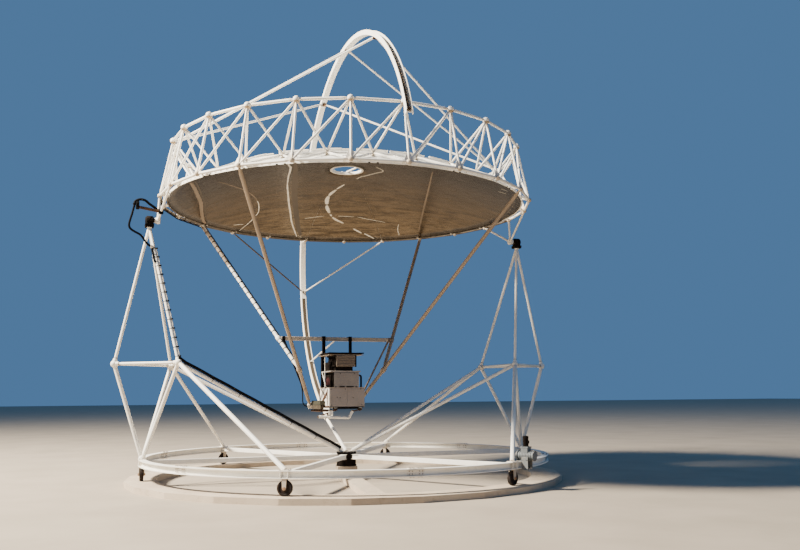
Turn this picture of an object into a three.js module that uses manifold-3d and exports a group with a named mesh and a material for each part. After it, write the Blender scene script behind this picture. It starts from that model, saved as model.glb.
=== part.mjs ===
// Solar dish concentrator on a wheeled turntable, stowed face down, with its engine package at the focus.
// Millimetres, +Z up. The ground is z = 0, the turntable turns about the Z axis, and the dish tilts about
// an axis that runs along X through the two bearings.
import * as THREE from 'three';
import { mergeVertices } from 'three/addons/utils/BufferGeometryUtils.js';
import Module from 'manifold-3d';

const wasm = await Module();
wasm.setup();

// Gap between parts that touch
const SEAT = 0.3;

// Concrete ring track, the ground beam that runs in to its centre, and the pivot block there
const TRACK_TOP = 120;
const TRACK_INNER = 4290;
const TRACK_OUTER = 4920;
const TRACK_SIDES = 24;
const STRIP_WIDTH = 370;
const STRIP_TURN = -8.7;
const BLOCK_SIZE = 460;
const BLOCK_TOP = 290;
const PIN_RADIUS = 60;
const PIN_TOP = 460;
const PIN_FLANGE = 120;
const PIN_FLANGE_HEIGHT = 5;

// Ring beam of the turntable, an I section bent round
const RING_RADIUS = 4600;
const RING_TOP = 580;
const RING_HEIGHT = 142;
const RING_WIDTH = 150;
const RING_FLANGE = 14;
const RING_WEB = 14;
const RING_STEPS = 8;
const RING_BOTTOM = RING_TOP - RING_HEIGHT;
const RING_NODES = [
  { name: 'right', angle: 0 },
  { name: 'back_right', angle: 60 },
  { name: 'back_left', angle: 120 },
  { name: 'left', angle: 180 },
  { name: 'front_left', angle: 240 },
  { name: 'front_right', angle: 300 },
];

// Wheels and the forks that hold them
const WHEEL_RADIUS = 145;
const WHEEL_WIDTH = 80;
const WHEEL_SIDES = 24;
const WHEEL_Z = TRACK_TOP + SEAT + WHEEL_RADIUS;
const AXLE_RADIUS = 25;
const FORK_PLATE = 14;
const FORK_GAP = 6;
const FORK_WIDTH = 130;
const FORK_DROP = 45;

// Hub and its six spokes
const HUB_RADIUS = 240;
const HUB_TOP = 610;
const HUB_BOTTOM = BLOCK_TOP + 8;
const SPOKE_SIZE = 100;
const SPOKE_Z = 509;

// Support towers that carry the elevation bearings
const AXIS_Z = 5864;
const BEARING_X = 4619;
const BEARING_LENGTH = 200;
const BEARING_WIDTH = 200;
const BEARING_HEIGHT = 250;
const MID_Z = 2639;
const OUTER_MID_X = 5252;
const INNER_MID_X = 3978;
const INNER_MID_Y = 977;
const UPPER_LEG = 33;
const LOWER_LEG = 42;
const POST = 46;
const HUB_BRACE = 40;
const MID_BAR = 30;
const MID_BALL = 92;
const FOOT_BALL = 90;
const FOOT_PLATE = 14;
const TOWER_SEAT = 95;
const HUB_FOOT_X = 130;

// Mirror shell, a paraboloid whose rim faces down at rest
const MIRROR_RADIUS = 4250;
const FOCAL_LENGTH = 4500;
const MIRROR_APEX = 7425;
const MIRROR_HOLE = 400;
const SHELL = 40;
const RIM_HEIGHT = 60;
const RIM_WIDTH = 70;
const MIRROR_RADIAL_STEPS = 6;
const QUARTER_STEPS = 12;

// Ring truss round the mirror
const BAYS = 24;
const TRUSS_TOP_R = 4156;
const TRUSS_TOP_Z = 7762;
const TRUSS_LOW_R = 4416;
const TRUSS_LOW_Z = 6443;
const TRUSS_CHORD = 33;
const TRUSS_WEB = 26;
const TOP_BALL = 85;
const LOW_BALL = 80;
const BACK_NODE_R = 3569;
const BACK_NODE_Z = 6823;
const BACK_BALL = 82;

// Drive arc behind the dish, centred on the elevation axis, with angles from straight up towards +Y
const ARC_INNER = 4664;
const ARC_OUTER = 4794;
const ARC_WIDTH = 140;
const ARC_WALL = 12;
const ARC_START = -70;
const ARC_END = 160;
const ARC_PARTS = 3;
const ARC_STEPS = 12;
const ARC_BRACKETS = [-30, 0, 30];
const ARC_BRACE = 24;
const ARC_BRACE_FOOT_X = 4000;
const ARC_BRACE_FOOT_Z = 7800;
const ARC_STAY = 22;
const ARC_STAY_ANGLE = 101.5;
const ARC_STAY_X = 30;
const ARC_LINKS = [
  { bay: 6, end: 'top', angle: 66 },
  { bay: 6, end: 'low', angle: 83 },
  { bay: 18, end: 'top', angle: -66 },
];
const DRIVE_ANGLE = 158;
const DRIVE_CLEARANCE = 8;
const DRIVE_ARM = 42;
const DRIVE_UNIT = 85;

// Struts and the frame that hold the engine package
const STRUT = 45;
const STRUT_MEET = 0.82;
const STRUT_BALL = 80;
const BEAM_Z = 3314;
const BEAM = 95;
const HANGER = 25;
const HANGER_INSET = 130;
const CRADLE_X = 604;
const CRADLE_Y = 1158;
const CRADLE_Z = 1683;
const CRADLE_BAR = 120;
const RAIL_X = 300;
const RAIL_WIDTH = 80;
const RAIL_HEIGHT = 14;
const LEFT_POST = { x: -336, width: 90 };
const RIGHT_POST = { x: 336, width: 64 };
const POST_FRONT = 800;
const DECK_X0 = -585;
const DECK_X1 = -480;
const DECK_FRONT = 200;
const DECK_BACK = 1080;
const DECK_TOP = 1800;
const TRAY_BOTTOM = 1540;
const GUARD_BAR = 40;
const ARC_ARM = 34;
const ARC_ARM_ANGLE = 150;
const ARC_TIE = 20;
const ARC_TIE_ANGLE = 130;

// Engine package, from the bottom up
const HOUSING_FRONT = -150;
const HOUSING_BASE = 1640;
const LOWER_TOP = 2110;
const MIDDLE_TOP = 2500;
const LID = 36;
const UPPER_BASE = 2600;
const UPPER_TOP = 2870;
const PLATE_TOP = 2930;
const LOWER_HOUSING = { x0: -465, x1: 405, back: 750 };
const MIDDLE_HOUSING = { x0: -345, x1: 260, back: 650 };
const UPPER_HOUSING = { x0: -335, x1: 200, back: 600 };
const ROOF = { x0: -480, x1: 400, back: 900 };
const APERTURE = 95;
const PIPE = 24;
const PIPE_X = 360;

// Elevation yokes on the dish
const YOKE_X = 4440;
const YOKE_TUBE = 26;
const YOKE_BOSS = 75;
const SHAFT_RADIUS = 40;

// Azimuth drive beside the front right wheel
const GEARBOX_ANGLE = -56;
const GEARBOX_FROM = 4550;
const GEARBOX_TO = 4930;
const GEARBOX_Z = 690;
const GEARBOX_RADIUS = 85;
const GEARBOX_FLANGE = 105;
const GEARBOX_FLANGE_WIDTH = 24;
const GEARBOX_BLOCK = { from: 4650, to: 4810, half: 75, top: 870 };
const GEARBOX_BRACKET_TO = 4820;
const GEARBOX_BRACKET_HALF = 100;
const MOTOR_R = 4730;
const MOTOR_RADIUS = 65;
const MOTOR_TOP = 1085;

// Cable loop from the bracket on the left yoke to the tower leg
const BRACKET_ROOT = 0.26;
const BRACKET_ARM = 26;
const BRACKET_BOX = { x0: -4934, x1: -4864, y0: -345, y1: -255, z0: 6040, z1: 6207 };
const BRACKET_ARM_Z = 6090;
const CABLE = 24;
const CABLE_ROUTE = [
  [-4960, -300, 6200], [-4963, -300, 6155], [-4972, -300, 6105], [-4984, -300, 6050], [-4996, -300, 5990],
  [-5010, -299, 5925], [-5028, -297, 5858], [-5045, -294, 5790], [-5059, -290, 5730],
  [-5064, -286, 5672], [-5048, -280, 5618], [-5008, -272, 5577], [-4952, -262, 5545], [-4892, -250, 5517],
  [-4832, -236, 5488], [-4782, -222, 5448], [-4742, -208, 5396], [-4702, -196, 5340], [-4658, -189, 5290],
  [-4612, -187, 5254], [-4562, -190, 5230],
];
const CABLE_CLIP = 45;

// Materials
function paint(name, color, roughness, metalness) {
  const material = new THREE.MeshStandardMaterial({ color, roughness, metalness });
  material.name = name;
  return material;
}

const concrete = paint('concrete', 0xb5a58c, 0.9, 0);
const whitePaint = paint('white_paint', 0xe8e2d4, 0.55, 0.1);
const mirrorSkin = paint('mirror', 0x9a938a, 0.15, 0.9);
const blackSteel = paint('black_steel', 0x2b2826, 0.7, 0.4);
const greyPaint = paint('grey_paint', 0x8d887c, 0.6, 0.2);
const bluePaint = paint('blue_grey_paint', 0x75808a, 0.6, 0.2);
const rustySteel = paint('rusty_steel', 0x4a3a30, 0.75, 0.4);

// Points
function rad(degrees) {
  return degrees * Math.PI / 180;
}

function vec(x, y, z) {
  return new THREE.Vector3(x, y, z);
}

function polar(radius, angle, z) {
  return vec(radius * Math.cos(rad(angle)), radius * Math.sin(rad(angle)), z);
}

// A point on the drive arc's circle
function onArc(radius, angle, x = 0) {
  return vec(x, radius * Math.sin(rad(angle)), AXIS_Z + radius * Math.cos(rad(angle)));
}

// Half the gap between neighbours on a circle, in degrees
function endGap(radius) {
  return THREE.MathUtils.radToDeg(SEAT / 2 / radius);
}

// Corner radius of a bore whose flats stay SEAT clear of a round pin
function boreRadius(pinRadius, sides) {
  return (pinRadius + SEAT) / Math.cos(Math.PI / sides);
}

// Solids, joined and cut
function solid(shape) {
  if (!shape.isBufferGeometry) {
    return shape;
  }
  const plain = shape.index ? shape.toNonIndexed() : shape.clone();
  plain.deleteAttribute('normal');
  plain.deleteAttribute('uv');
  const merged = mergeVertices(plain, 1e-4);
  return new wasm.Manifold(new wasm.Mesh({
    numProp: 3,
    vertProperties: new Float32Array(merged.attributes.position.array),
    triVerts: new Uint32Array(merged.index.array),
  }));
}

function joined(shapes) {
  return shapes.map(solid).reduce((sum, piece) => sum.add(piece));
}

function cut(body, tools) {
  return tools.map(solid).reduce((rest, tool) => rest.subtract(tool), solid(body));
}

function geometryOf(body) {
  const data = body.getMesh();
  const geometry = new THREE.BufferGeometry();
  geometry.setAttribute('position', new THREE.BufferAttribute(new Float32Array(data.vertProperties), 3));
  geometry.setIndex(new THREE.BufferAttribute(new Uint32Array(data.triVerts), 1));
  return geometry;
}

const group = new THREE.Group();

function part(name, shape, material) {
  const mesh = new THREE.Mesh(geometryOf(solid(shape)), material);
  mesh.name = name;
  group.add(mesh);
}

// Basic shapes
function box(x0, x1, y0, y1, z0, z1) {
  const geometry = new THREE.BoxGeometry(x1 - x0, y1 - y0, z1 - z0);
  return geometry.translate((x0 + x1) / 2, (y0 + y1) / 2, (z0 + z1) / 2);
}

function turned(shape, angle) {
  return shape.clone().rotateZ(rad(angle));
}

// A round bar between two points, as a prism with few sides
function bar(from, to, radius, sides = 6) {
  const along = to.clone().sub(from);
  const geometry = new THREE.CylinderGeometry(radius, radius, along.length(), sides);
  geometry.applyQuaternion(new THREE.Quaternion().setFromUnitVectors(vec(0, 1, 0), along.normalize()));
  const middle = from.clone().add(to).multiplyScalar(0.5);
  return geometry.translate(middle.x, middle.y, middle.z);
}

function ball(centre, radius) {
  return new THREE.IcosahedronGeometry(radius, 0).translate(centre.x, centre.y, centre.z);
}

// A truss node, as an eight-faced knot
function knot(centre, radius) {
  return new THREE.OctahedronGeometry(radius, 0).translate(centre.x, centre.y, centre.z);
}

// Bars along a route, with a knot at each of its points
function rope(points, radius) {
  const bars = points.slice(1).map((point, i) => bar(points[i], point, radius));
  return [...bars, ...points.map((point) => knot(point, radius * 1.2))];
}

// A round cable along a smooth curve through the points, with flat ends
function cable(points, radius, sides = 6) {
  const steps = 2 * points.length;
  const curve = new THREE.CatmullRomCurve3(points);
  const geometry = new THREE.TubeGeometry(curve, steps, radius, sides, false);
  const index = Array.from(geometry.index.array);
  const last = steps * (sides + 1);
  for (let side = 1; side < sides - 1; side += 1) {
    index.push(0, side, side + 1);
    index.push(last, last + side + 1, last + side);
  }
  geometry.setIndex(index);
  return geometry;
}

// A profile of (radius, height) points swept about the Z axis through an angle, with flat ends
function sweptRing(profile, startAngle, endAngle, steps) {
  const count = profile.length;
  const positions = [];
  for (let step = 0; step <= steps; step += 1) {
    const angle = startAngle + (endAngle - startAngle) * step / steps;
    profile.forEach(([r, z]) => positions.push(...polar(r, angle, z).toArray()));
  }
  const index = [];
  for (let step = 0; step < steps; step += 1) {
    for (let i = 0; i < count; i += 1) {
      const a = step * count + i;
      const b = step * count + (i + 1) % count;
      index.push(a, a + count, b, b, a + count, b + count);
    }
  }
  const last = steps * count;
  const outline = profile.map(([r, z]) => new THREE.Vector2(r, z));
  THREE.ShapeUtils.triangulateShape(outline, []).forEach(([a, b, c]) => {
    index.push(a, b, c);
    index.push(last + a, last + c, last + b);
  });
  const geometry = new THREE.BufferGeometry();
  geometry.setAttribute('position', new THREE.BufferAttribute(new Float32Array(positions), 3));
  geometry.setIndex(index);
  return geometry;
}

// A closed ring with its profile of (radius, height) points swept once round the Z axis
function fullRing(profile, segments) {
  const points = [...profile, profile[0]].map(([r, z]) => new THREE.Vector2(r, z));
  return new THREE.LatheGeometry(points, segments).rotateX(Math.PI / 2);
}

// A profile swept about Z, then turned so that it runs round the elevation axis
function sweptArc(profile, startAngle, endAngle, steps) {
  const ring = sweptRing(profile, 90 - endAngle, 90 - startAngle, steps);
  return ring.rotateX(Math.PI / 2).rotateZ(Math.PI / 2).translate(0, 0, AXIS_Z);
}

// Concrete: the ring track and its ground beam cast together, and the pivot block with its pin
function foundation() {
  const corner = TRACK_OUTER / Math.cos(Math.PI / TRACK_SIDES);
  const outside = new THREE.CylinderGeometry(corner, corner, TRACK_TOP, TRACK_SIDES);
  const inside = new THREE.CylinderGeometry(TRACK_INNER, TRACK_INNER, TRACK_TOP * 2, TRACK_SIDES * 2);
  [outside, inside].forEach((shape) => shape.rotateX(Math.PI / 2).translate(0, 0, TRACK_TOP / 2));
  const reach = TRACK_INNER + 60;
  const strip = box(-STRIP_WIDTH / 2, STRIP_WIDTH / 2, -reach, 0, 0, TRACK_TOP);
  const half = BLOCK_SIZE / 2;
  const block = box(-half, half, -half, half, 0, BLOCK_TOP);
  const room = half + SEAT;
  const blockRoom = box(-room, room, -room, room, -1, BLOCK_TOP);
  const track = joined([cut(outside, [inside]), turned(strip, STRIP_TURN)]);
  part('concrete_foundation', cut(track, [turned(blockRoom, STRIP_TURN)]), concrete);
  part('pivot_block', turned(block, STRIP_TURN), concrete);
  const foot = vec(0, 0, BLOCK_TOP + SEAT);
  const pin = bar(foot, vec(0, 0, PIN_TOP), PIN_RADIUS, 16);
  const flange = bar(foot, vec(0, 0, BLOCK_TOP + PIN_FLANGE_HEIGHT), PIN_FLANGE, 16);
  part('centre_pin', joined([pin, flange]), blackSteel);
}

// Turntable: ring beam with wheel forks, wheels, spokes and hub
function ringBeam(angle) {
  const inner = RING_RADIUS - RING_WIDTH / 2;
  const outer = RING_RADIUS + RING_WIDTH / 2;
  const webInner = RING_RADIUS - RING_WEB / 2;
  const webOuter = RING_RADIUS + RING_WEB / 2;
  const low = RING_BOTTOM + RING_FLANGE;
  const high = RING_TOP - RING_FLANGE;
  const profile = [
    [inner, RING_BOTTOM], [outer, RING_BOTTOM], [outer, low], [webOuter, low],
    [webOuter, high], [outer, high], [outer, RING_TOP], [inner, RING_TOP],
    [inner, high], [webInner, high], [webInner, low], [inner, low],
  ];
  const gap = endGap(RING_RADIUS);
  return sweptRing(profile, angle - 30 + gap, angle + 30 - gap, RING_STEPS);
}

function fork(angle) {
  const face = WHEEL_WIDTH / 2 + FORK_GAP;
  const reach = face + FORK_PLATE;
  const half = FORK_WIDTH / 2;
  const bottom = WHEEL_Z - FORK_DROP;
  const inner = box(RING_RADIUS - reach, RING_RADIUS - face, -half, half, bottom, RING_BOTTOM + 2);
  const outer = box(RING_RADIUS + face, RING_RADIUS + reach, -half, half, bottom, RING_BOTTOM + 2);
  const plate = box(RING_RADIUS - reach, RING_RADIUS + reach, -half, half, RING_BOTTOM - 10, RING_BOTTOM + 4);
  const end = reach + 8;
  const axle = bar(vec(RING_RADIUS - end, 0, WHEEL_Z), vec(RING_RADIUS + end, 0, WHEEL_Z), AXLE_RADIUS, 12);
  return [inner, outer, plate, axle].map((shape) => turned(shape, angle));
}

function wheel(angle) {
  const half = WHEEL_WIDTH / 2;
  const bore = boreRadius(AXLE_RADIUS, WHEEL_SIDES);
  const ring = [[bore, -half], [WHEEL_RADIUS, -half], [WHEEL_RADIUS, half], [bore, half]];
  const tyre = fullRing(ring, WHEEL_SIDES).rotateY(Math.PI / 2).translate(RING_RADIUS, 0, WHEEL_Z);
  return turned(tyre, angle);
}

// Everything that the ring beam fills, so that the spokes stop short of it
function ringRoom() {
  const inner = RING_RADIUS - RING_WIDTH / 2 - SEAT;
  const outer = RING_RADIUS + RING_WIDTH;
  const low = RING_BOTTOM - 1;
  const high = RING_TOP + 1;
  return fullRing([[inner, low], [outer, low], [outer, high], [inner, high]], 6 * RING_STEPS);
}

function hubAndSpokes() {
  const drum = bar(vec(0, 0, HUB_BOTTOM), vec(0, 0, HUB_TOP), HUB_RADIUS, 24);
  const under = vec(0, 0, HUB_BOTTOM - 10);
  const bore = bar(under, vec(0, 0, PIN_TOP + 8), boreRadius(PIN_RADIUS, 32), 32);
  const recess = bar(under, vec(0, 0, HUB_BOTTOM + 10), PIN_FLANGE + 8, 16);
  const half = SPOKE_SIZE / 2;
  const spoke = box(HUB_RADIUS - 30, RING_RADIUS, -half, half, SPOKE_Z - half, SPOKE_Z + half);
  const spokes = RING_NODES.map(({ angle }) => turned(spoke, angle));
  return cut(joined([drum, ...spokes]), [bore, recess, ringRoom()]);
}

function turntable() {
  RING_NODES.forEach(({ name, angle }) => {
    part(`ring_beam_${name}`, joined([ringBeam(angle), ...fork(angle)]), whitePaint);
    part(`wheel_${name}`, wheel(angle), rustySteel);
  });
  part('hub_and_spokes', hubAndSpokes(), whitePaint);
}

// Support towers
function towerMids(side) {
  return {
    outer: vec(side * OUTER_MID_X, 0, MID_Z),
    back: vec(side * INNER_MID_X, INNER_MID_Y, MID_Z),
    front: vec(side * INNER_MID_X, -INNER_MID_Y, MID_Z),
  };
}

// All the space below a height, for cutting feet flat
function below(z) {
  return box(-6000, 6000, -6000, 6000, 0, z);
}

function footPlate(angle) {
  const radial = RING_WIDTH / 2;
  const top = RING_TOP + SEAT;
  return turned(box(RING_RADIUS - radial, RING_RADIUS + radial, -110, 110, top, top + FOOT_PLATE), angle);
}

function upperTripod(side, name) {
  const { outer, back, front } = towerMids(side);
  const mids = [outer, back, front];
  const x = side * BEARING_X;
  const top = AXIS_Z - BEARING_HEIGHT / 2 - SEAT;
  const legs = mids.map((mid) => bar(mid, vec(x, 0, top - 30), UPPER_LEG));
  const joints = mids.map((mid) => ball(mid, MID_BALL));
  const ties = [bar(outer, back, MID_BAR), bar(back, front, MID_BAR), bar(front, outer, MID_BAR)];
  const seat = box(x - TOWER_SEAT, x + TOWER_SEAT, -TOWER_SEAT, TOWER_SEAT, top - 40, top);
  const above = box(x - 300, x + 300, -300, 300, top, top + 300);
  const pieces = [...legs, ...joints, ...ties, seat];
  if (side < 0) {
    pieces.push(ball(vec(...CABLE_ROUTE.at(-1)), CABLE_CLIP));
  }
  part(`${name}_upper_tripod`, cut(joined(pieces), [above]), whitePaint);
}

function lowerTower(side, name) {
  const { outer, back, front } = towerMids(side);
  const mids = [outer, back, front];
  const room = mids.map((mid) => ball(mid, MID_BALL + SEAT * 1.3));
  const overRing = [...room, below(RING_TOP + SEAT)];
  const onRing = (angle) => polar(RING_RADIUS, angle, RING_TOP - 20);
  const endAngle = side > 0 ? 0 : 180;
  const foot = onRing(endAngle);
  const feet = mids.map((mid) => bar(mid, foot, LOWER_LEG));
  const tripod = joined([...feet, ball(foot, FOOT_BALL), footPlate(endAngle)]);
  part(`${name}_foot_tripod`, cut(tripod, overRing), whitePaint);

  const frontAngle = side > 0 ? 300 : 240;
  const post = joined([bar(front, onRing(frontAngle), POST), footPlate(frontAngle)]);
  part(`${name}_front_post`, cut(post, overRing), whitePaint);

  const backAngle = side > 0 ? 60 : 120;
  const brace = joined([bar(back, onRing(backAngle), HUB_BRACE), footPlate(backAngle)]);
  part(`${name}_back_brace`, cut(brace, overRing), whitePaint);

  const x = side * HUB_FOOT_X;
  const hubFoot = vec(x, 0, HUB_TOP - 10);
  const plateTop = HUB_TOP + SEAT + FOOT_PLATE;
  const hubPlate = box(x - 85, x + 85, -90, 90, HUB_TOP + SEAT, plateTop);
  const hubBars = joined([...[front, back].map((mid) => bar(mid, hubFoot, HUB_BRACE)), hubPlate]);
  part(`${name}_hub_braces`, cut(hubBars, [...room, below(HUB_TOP + SEAT)]), whitePaint);
}

function bearing(side, name) {
  const x0 = side * BEARING_X - BEARING_LENGTH / 2;
  const x1 = side * BEARING_X + BEARING_LENGTH / 2;
  const half = BEARING_WIDTH / 2;
  const block = box(x0, x1, -half, half, AXIS_Z - BEARING_HEIGHT / 2, AXIS_Z + 20);
  const crown = bar(vec(x0, 0, AXIS_Z), vec(x1, 0, AXIS_Z), half, 16);
  const bore = bar(vec(x0 - 10, 0, AXIS_Z), vec(x1 + 10, 0, AXIS_Z), boreRadius(SHAFT_RADIUS, 32), 32);
  part(`${name}_bearing`, cut(joined([block, crown]), [bore]), blackSteel);
}

function tower(side, name) {
  upperTripod(side, name);
  lowerTower(side, name);
  bearing(side, name);
}

// Azimuth drive: a gearbox with a radial axis, held by a bracket from under the ring beam
function azimuthDrive() {
  const ringEdge = RING_RADIUS + RING_WIDTH / 2 + SEAT;
  const under = RING_BOTTOM - SEAT;
  const shoeBottom = under - FORK_PLATE;
  const radialBar = (from, to, radius) => bar(vec(from, 0, GEARBOX_Z), vec(to, 0, GEARBOX_Z), radius, 16);
  const endPlates = [GEARBOX_FROM, GEARBOX_TO - GEARBOX_FLANGE_WIDTH].map((from) => (
    radialBar(from, from + GEARBOX_FLANGE_WIDTH, GEARBOX_FLANGE)
  ));
  const { from, to, half, top } = GEARBOX_BLOCK;
  const side = GEARBOX_BRACKET_HALF;
  const saddleTop = GEARBOX_Z - GEARBOX_RADIUS / 2;
  const pieces = [
    radialBar(GEARBOX_FROM, GEARBOX_TO, GEARBOX_RADIUS),
    ...endPlates,
    box(from, to, -half, half, GEARBOX_Z, top),
    box(RING_RADIUS - RING_WIDTH / 3, GEARBOX_BRACKET_TO, -side, side, shoeBottom, under),
    box(ringEdge, GEARBOX_BRACKET_TO, -side, -side + FORK_PLATE, shoeBottom, GEARBOX_Z),
    box(ringEdge, GEARBOX_BRACKET_TO, side - FORK_PLATE, side, shoeBottom, GEARBOX_Z),
    box(ringEdge, GEARBOX_BRACKET_TO, -side, side, GEARBOX_Z - GEARBOX_FLANGE, saddleTop),
  ];
  part('azimuth_gearbox', joined(pieces.map((shape) => turned(shape, GEARBOX_ANGLE))), bluePaint);
  const motorBase = polar(MOTOR_R, GEARBOX_ANGLE, top + SEAT);
  part('azimuth_motor', bar(motorBase, motorBase.clone().setZ(MOTOR_TOP), MOTOR_RADIUS, 12), blackSteel);
}

// Elevation drive: an arm from the hub that holds the unit which the drive arc runs over
function elevationDrive() {
  const top = onArc(ARC_OUTER + DRIVE_CLEARANCE, DRIVE_ANGLE);
  const armTop = onArc(ARC_OUTER + DRIVE_CLEARANCE + DRIVE_UNIT / 2, DRIVE_ANGLE);
  const arm = bar(vec(0, 0, HUB_TOP - 20), armTop, DRIVE_ARM, 8);
  const half = DRIVE_UNIT * 0.8;
  const unit = box(-half, half, -half, half, -DRIVE_UNIT, 0);
  unit.rotateX(rad(180 - DRIVE_ANGLE)).translate(top.x, top.y, top.z);
  const foot = box(-HUB_BRACE, HUB_BRACE, -DRIVE_ARM, 4 * DRIVE_ARM, HUB_TOP + SEAT, HUB_TOP + FOOT_PLATE);
  part('arc_drive', cut(joined([arm, unit, foot]), [below(HUB_TOP + SEAT)]), whitePaint);
}

// Mirror
function mirrorZ(r) {
  return MIRROR_APEX - r * r / (4 * FOCAL_LENGTH);
}

function mirrorQuarter(index) {
  const face = [];
  for (let step = 0; step <= MIRROR_RADIAL_STEPS; step += 1) {
    const r = MIRROR_HOLE + (MIRROR_RADIUS - MIRROR_HOLE) * step / MIRROR_RADIAL_STEPS;
    face.push([r, mirrorZ(r)]);
  }
  const rimInner = MIRROR_RADIUS - RIM_WIDTH;
  const rimTop = mirrorZ(MIRROR_RADIUS) + RIM_HEIGHT;
  const rim = [[MIRROR_RADIUS, rimTop], [rimInner, rimTop], [rimInner, mirrorZ(rimInner) + SHELL]];
  const back = face.slice(0, -1).reverse().map(([r, z]) => [r, z + SHELL]);
  const gap = endGap(MIRROR_RADIUS);
  const start = index * 90 + gap;
  return sweptRing([...face, ...rim, ...back], start, start + 90 - 2 * gap, QUARTER_STEPS);
}

// What the outer part of the mirror needs clear of it
function mirrorRoom() {
  const clear = SEAT * 1.3;
  const stepWidth = (MIRROR_RADIUS - MIRROR_HOLE) / MIRROR_RADIAL_STEPS;
  const profile = [
    [MIRROR_RADIUS + SEAT, mirrorZ(MIRROR_RADIUS) - 5],
    [MIRROR_RADIUS + SEAT, mirrorZ(MIRROR_RADIUS) + RIM_HEIGHT + clear],
    [MIRROR_RADIUS - RIM_WIDTH - SEAT, mirrorZ(MIRROR_RADIUS) + RIM_HEIGHT + clear],
  ];
  [MIRROR_RADIUS - RIM_WIDTH, MIRROR_RADIUS - stepWidth, MIRROR_RADIUS - 2 * stepWidth].forEach((r) => {
    profile.push([r - SEAT, mirrorZ(r) + SHELL + clear]);
  });
  profile.push([MIRROR_RADIUS - 2 * stepWidth, mirrorZ(MIRROR_RADIUS) - 5]);
  return fullRing(profile, 4 * QUARTER_STEPS);
}

// Ring truss
function trussNodes(k) {
  const angle = k * 360 / BAYS;
  return {
    top: polar(TRUSS_TOP_R, angle, TRUSS_TOP_Z),
    low: polar(TRUSS_LOW_R, angle, TRUSS_LOW_Z),
    back: polar(BACK_NODE_R, angle + 180 / BAYS, BACK_NODE_Z),
  };
}

// The bars and knots of one bay, made larger by grow where they only clear a neighbour. The back node of a
// bay stands on the mirror's back and ties its two top nodes, its two low nodes and the next back node.
function trussBay(k, grow = 0) {
  const here = trussNodes(k);
  const next = trussNodes(k + 1);
  const chord = TRUSS_CHORD + grow * 1.5;
  const web = TRUSS_WEB + grow * 2;
  return [
    knot(here.top, TOP_BALL + grow * 2),
    knot(here.low, LOW_BALL + grow * 2),
    knot(here.back, BACK_BALL + grow * 2),
    bar(here.top, next.top, chord, 4),
    bar(here.low, next.low, chord, 4),
    bar(here.back, next.back, web, 3),
    bar(here.low, here.top, web, 3),
    bar(here.low, next.top, web, 3),
    bar(here.back, here.top, web, 3),
    bar(here.back, next.top, web, 3),
    bar(here.back, here.low, web, 3),
    bar(here.back, next.low, web, 3),
  ];
}

// What a piece that ends at node k of the truss has to clear
function nodeRoom(k) {
  return [...trussBay(k - 1, SEAT), ...trussBay(k, SEAT)];
}

function trussQuarter(index) {
  const perQuarter = BAYS / 4;
  const pieces = [];
  for (let k = index * perQuarter; k < (index + 1) * perQuarter; k += 1) {
    pieces.push(...trussBay(k));
    ARC_LINKS.filter(({ bay }) => bay === k).forEach(({ end, angle }) => {
      pieces.push(bar(trussNodes(k)[end], onArc(ARC_INNER + 20, angle), TRUSS_WEB));
    });
  }
  const neighbour = trussBay((index + 1) * perQuarter, SEAT);
  return cut(joined(pieces), [...neighbour, mirrorRoom(), arcRoom()]);
}

// Drive arc, a channel open to the outside in three lengths, with its braces and stays
function arcRoom() {
  const w = ARC_WIDTH / 2 + SEAT;
  const low = ARC_INNER - SEAT;
  const high = ARC_OUTER + SEAT;
  return sweptArc([[low, -w], [high, -w], [high, w], [low, w]], ARC_START, ARC_END, ARC_PARTS * ARC_STEPS);
}

function arcChannel(startAngle, endAngle) {
  const w = ARC_WIDTH / 2;
  const floor = ARC_INNER + ARC_WALL;
  const profile = [
    [ARC_INNER, -w], [ARC_OUTER, -w], [ARC_OUTER, -w + ARC_WALL], [floor, -w + ARC_WALL],
    [floor, w - ARC_WALL], [ARC_OUTER, w - ARC_WALL], [ARC_OUTER, w], [ARC_INNER, w],
  ];
  const gap = endGap(ARC_INNER);
  return sweptArc(profile, startAngle + gap, endAngle - gap, ARC_STEPS);
}

function driveArc() {
  const span = (ARC_END - ARC_START) / ARC_PARTS;
  for (let index = 0; index < ARC_PARTS; index += 1) {
    const from = ARC_START + index * span;
    part(`drive_arc_${index + 1}`, arcChannel(from, from + span), whitePaint);
  }
}

function arcBraces(side, name) {
  const foot = vec(side * ARC_BRACE_FOOT_X, 0, ARC_BRACE_FOOT_Z);
  const k = side > 0 ? 0 : BAYS / 2;
  const bars = ARC_BRACKETS.map((angle) => bar(foot, onArc(ARC_INNER + 30, angle), ARC_BRACE));
  const link = bar(foot, trussNodes(k).top, ARC_BRACE + 6);
  const braces = joined([...bars, link, ball(foot, 55)]);
  part(`arc_braces_${name}`, cut(braces, [...nodeRoom(k), arcRoom()]), whitePaint);
}

function arcStay(side, name) {
  const k = side > 0 ? 4 : 8;
  const end = onArc(ARC_INNER + 30, ARC_STAY_ANGLE, side * ARC_STAY_X);
  const stay = bar(trussNodes(k).low, end, ARC_STAY);
  part(`arc_stay_${name}`, cut(stay, [...nodeRoom(k), arcRoom()]), whitePaint);
}

// Struts: the far one runs on past the beam to meet the near one, which carries the cradle
function strutPoints(side) {
  const farNode = side > 0 ? 3 : 9;
  const nearNode = side > 0 ? 21 : 15;
  const farTop = trussNodes(farNode).low;
  const nearTop = trussNodes(nearNode).low;
  const corner = vec(side * CRADLE_X, CRADLE_Y, CRADLE_Z);
  const meet = nearTop.clone().lerp(corner, STRUT_MEET);
  const beamEnd = farTop.clone().lerp(meet, (BEAM_Z - farTop.z) / (meet.z - farTop.z));
  const hangerTop = beamEnd.clone().setX(beamEnd.x - side * HANGER_INSET);
  return { farNode, nearNode, farTop, nearTop, corner, meet, beamEnd, hangerTop };
}

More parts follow.
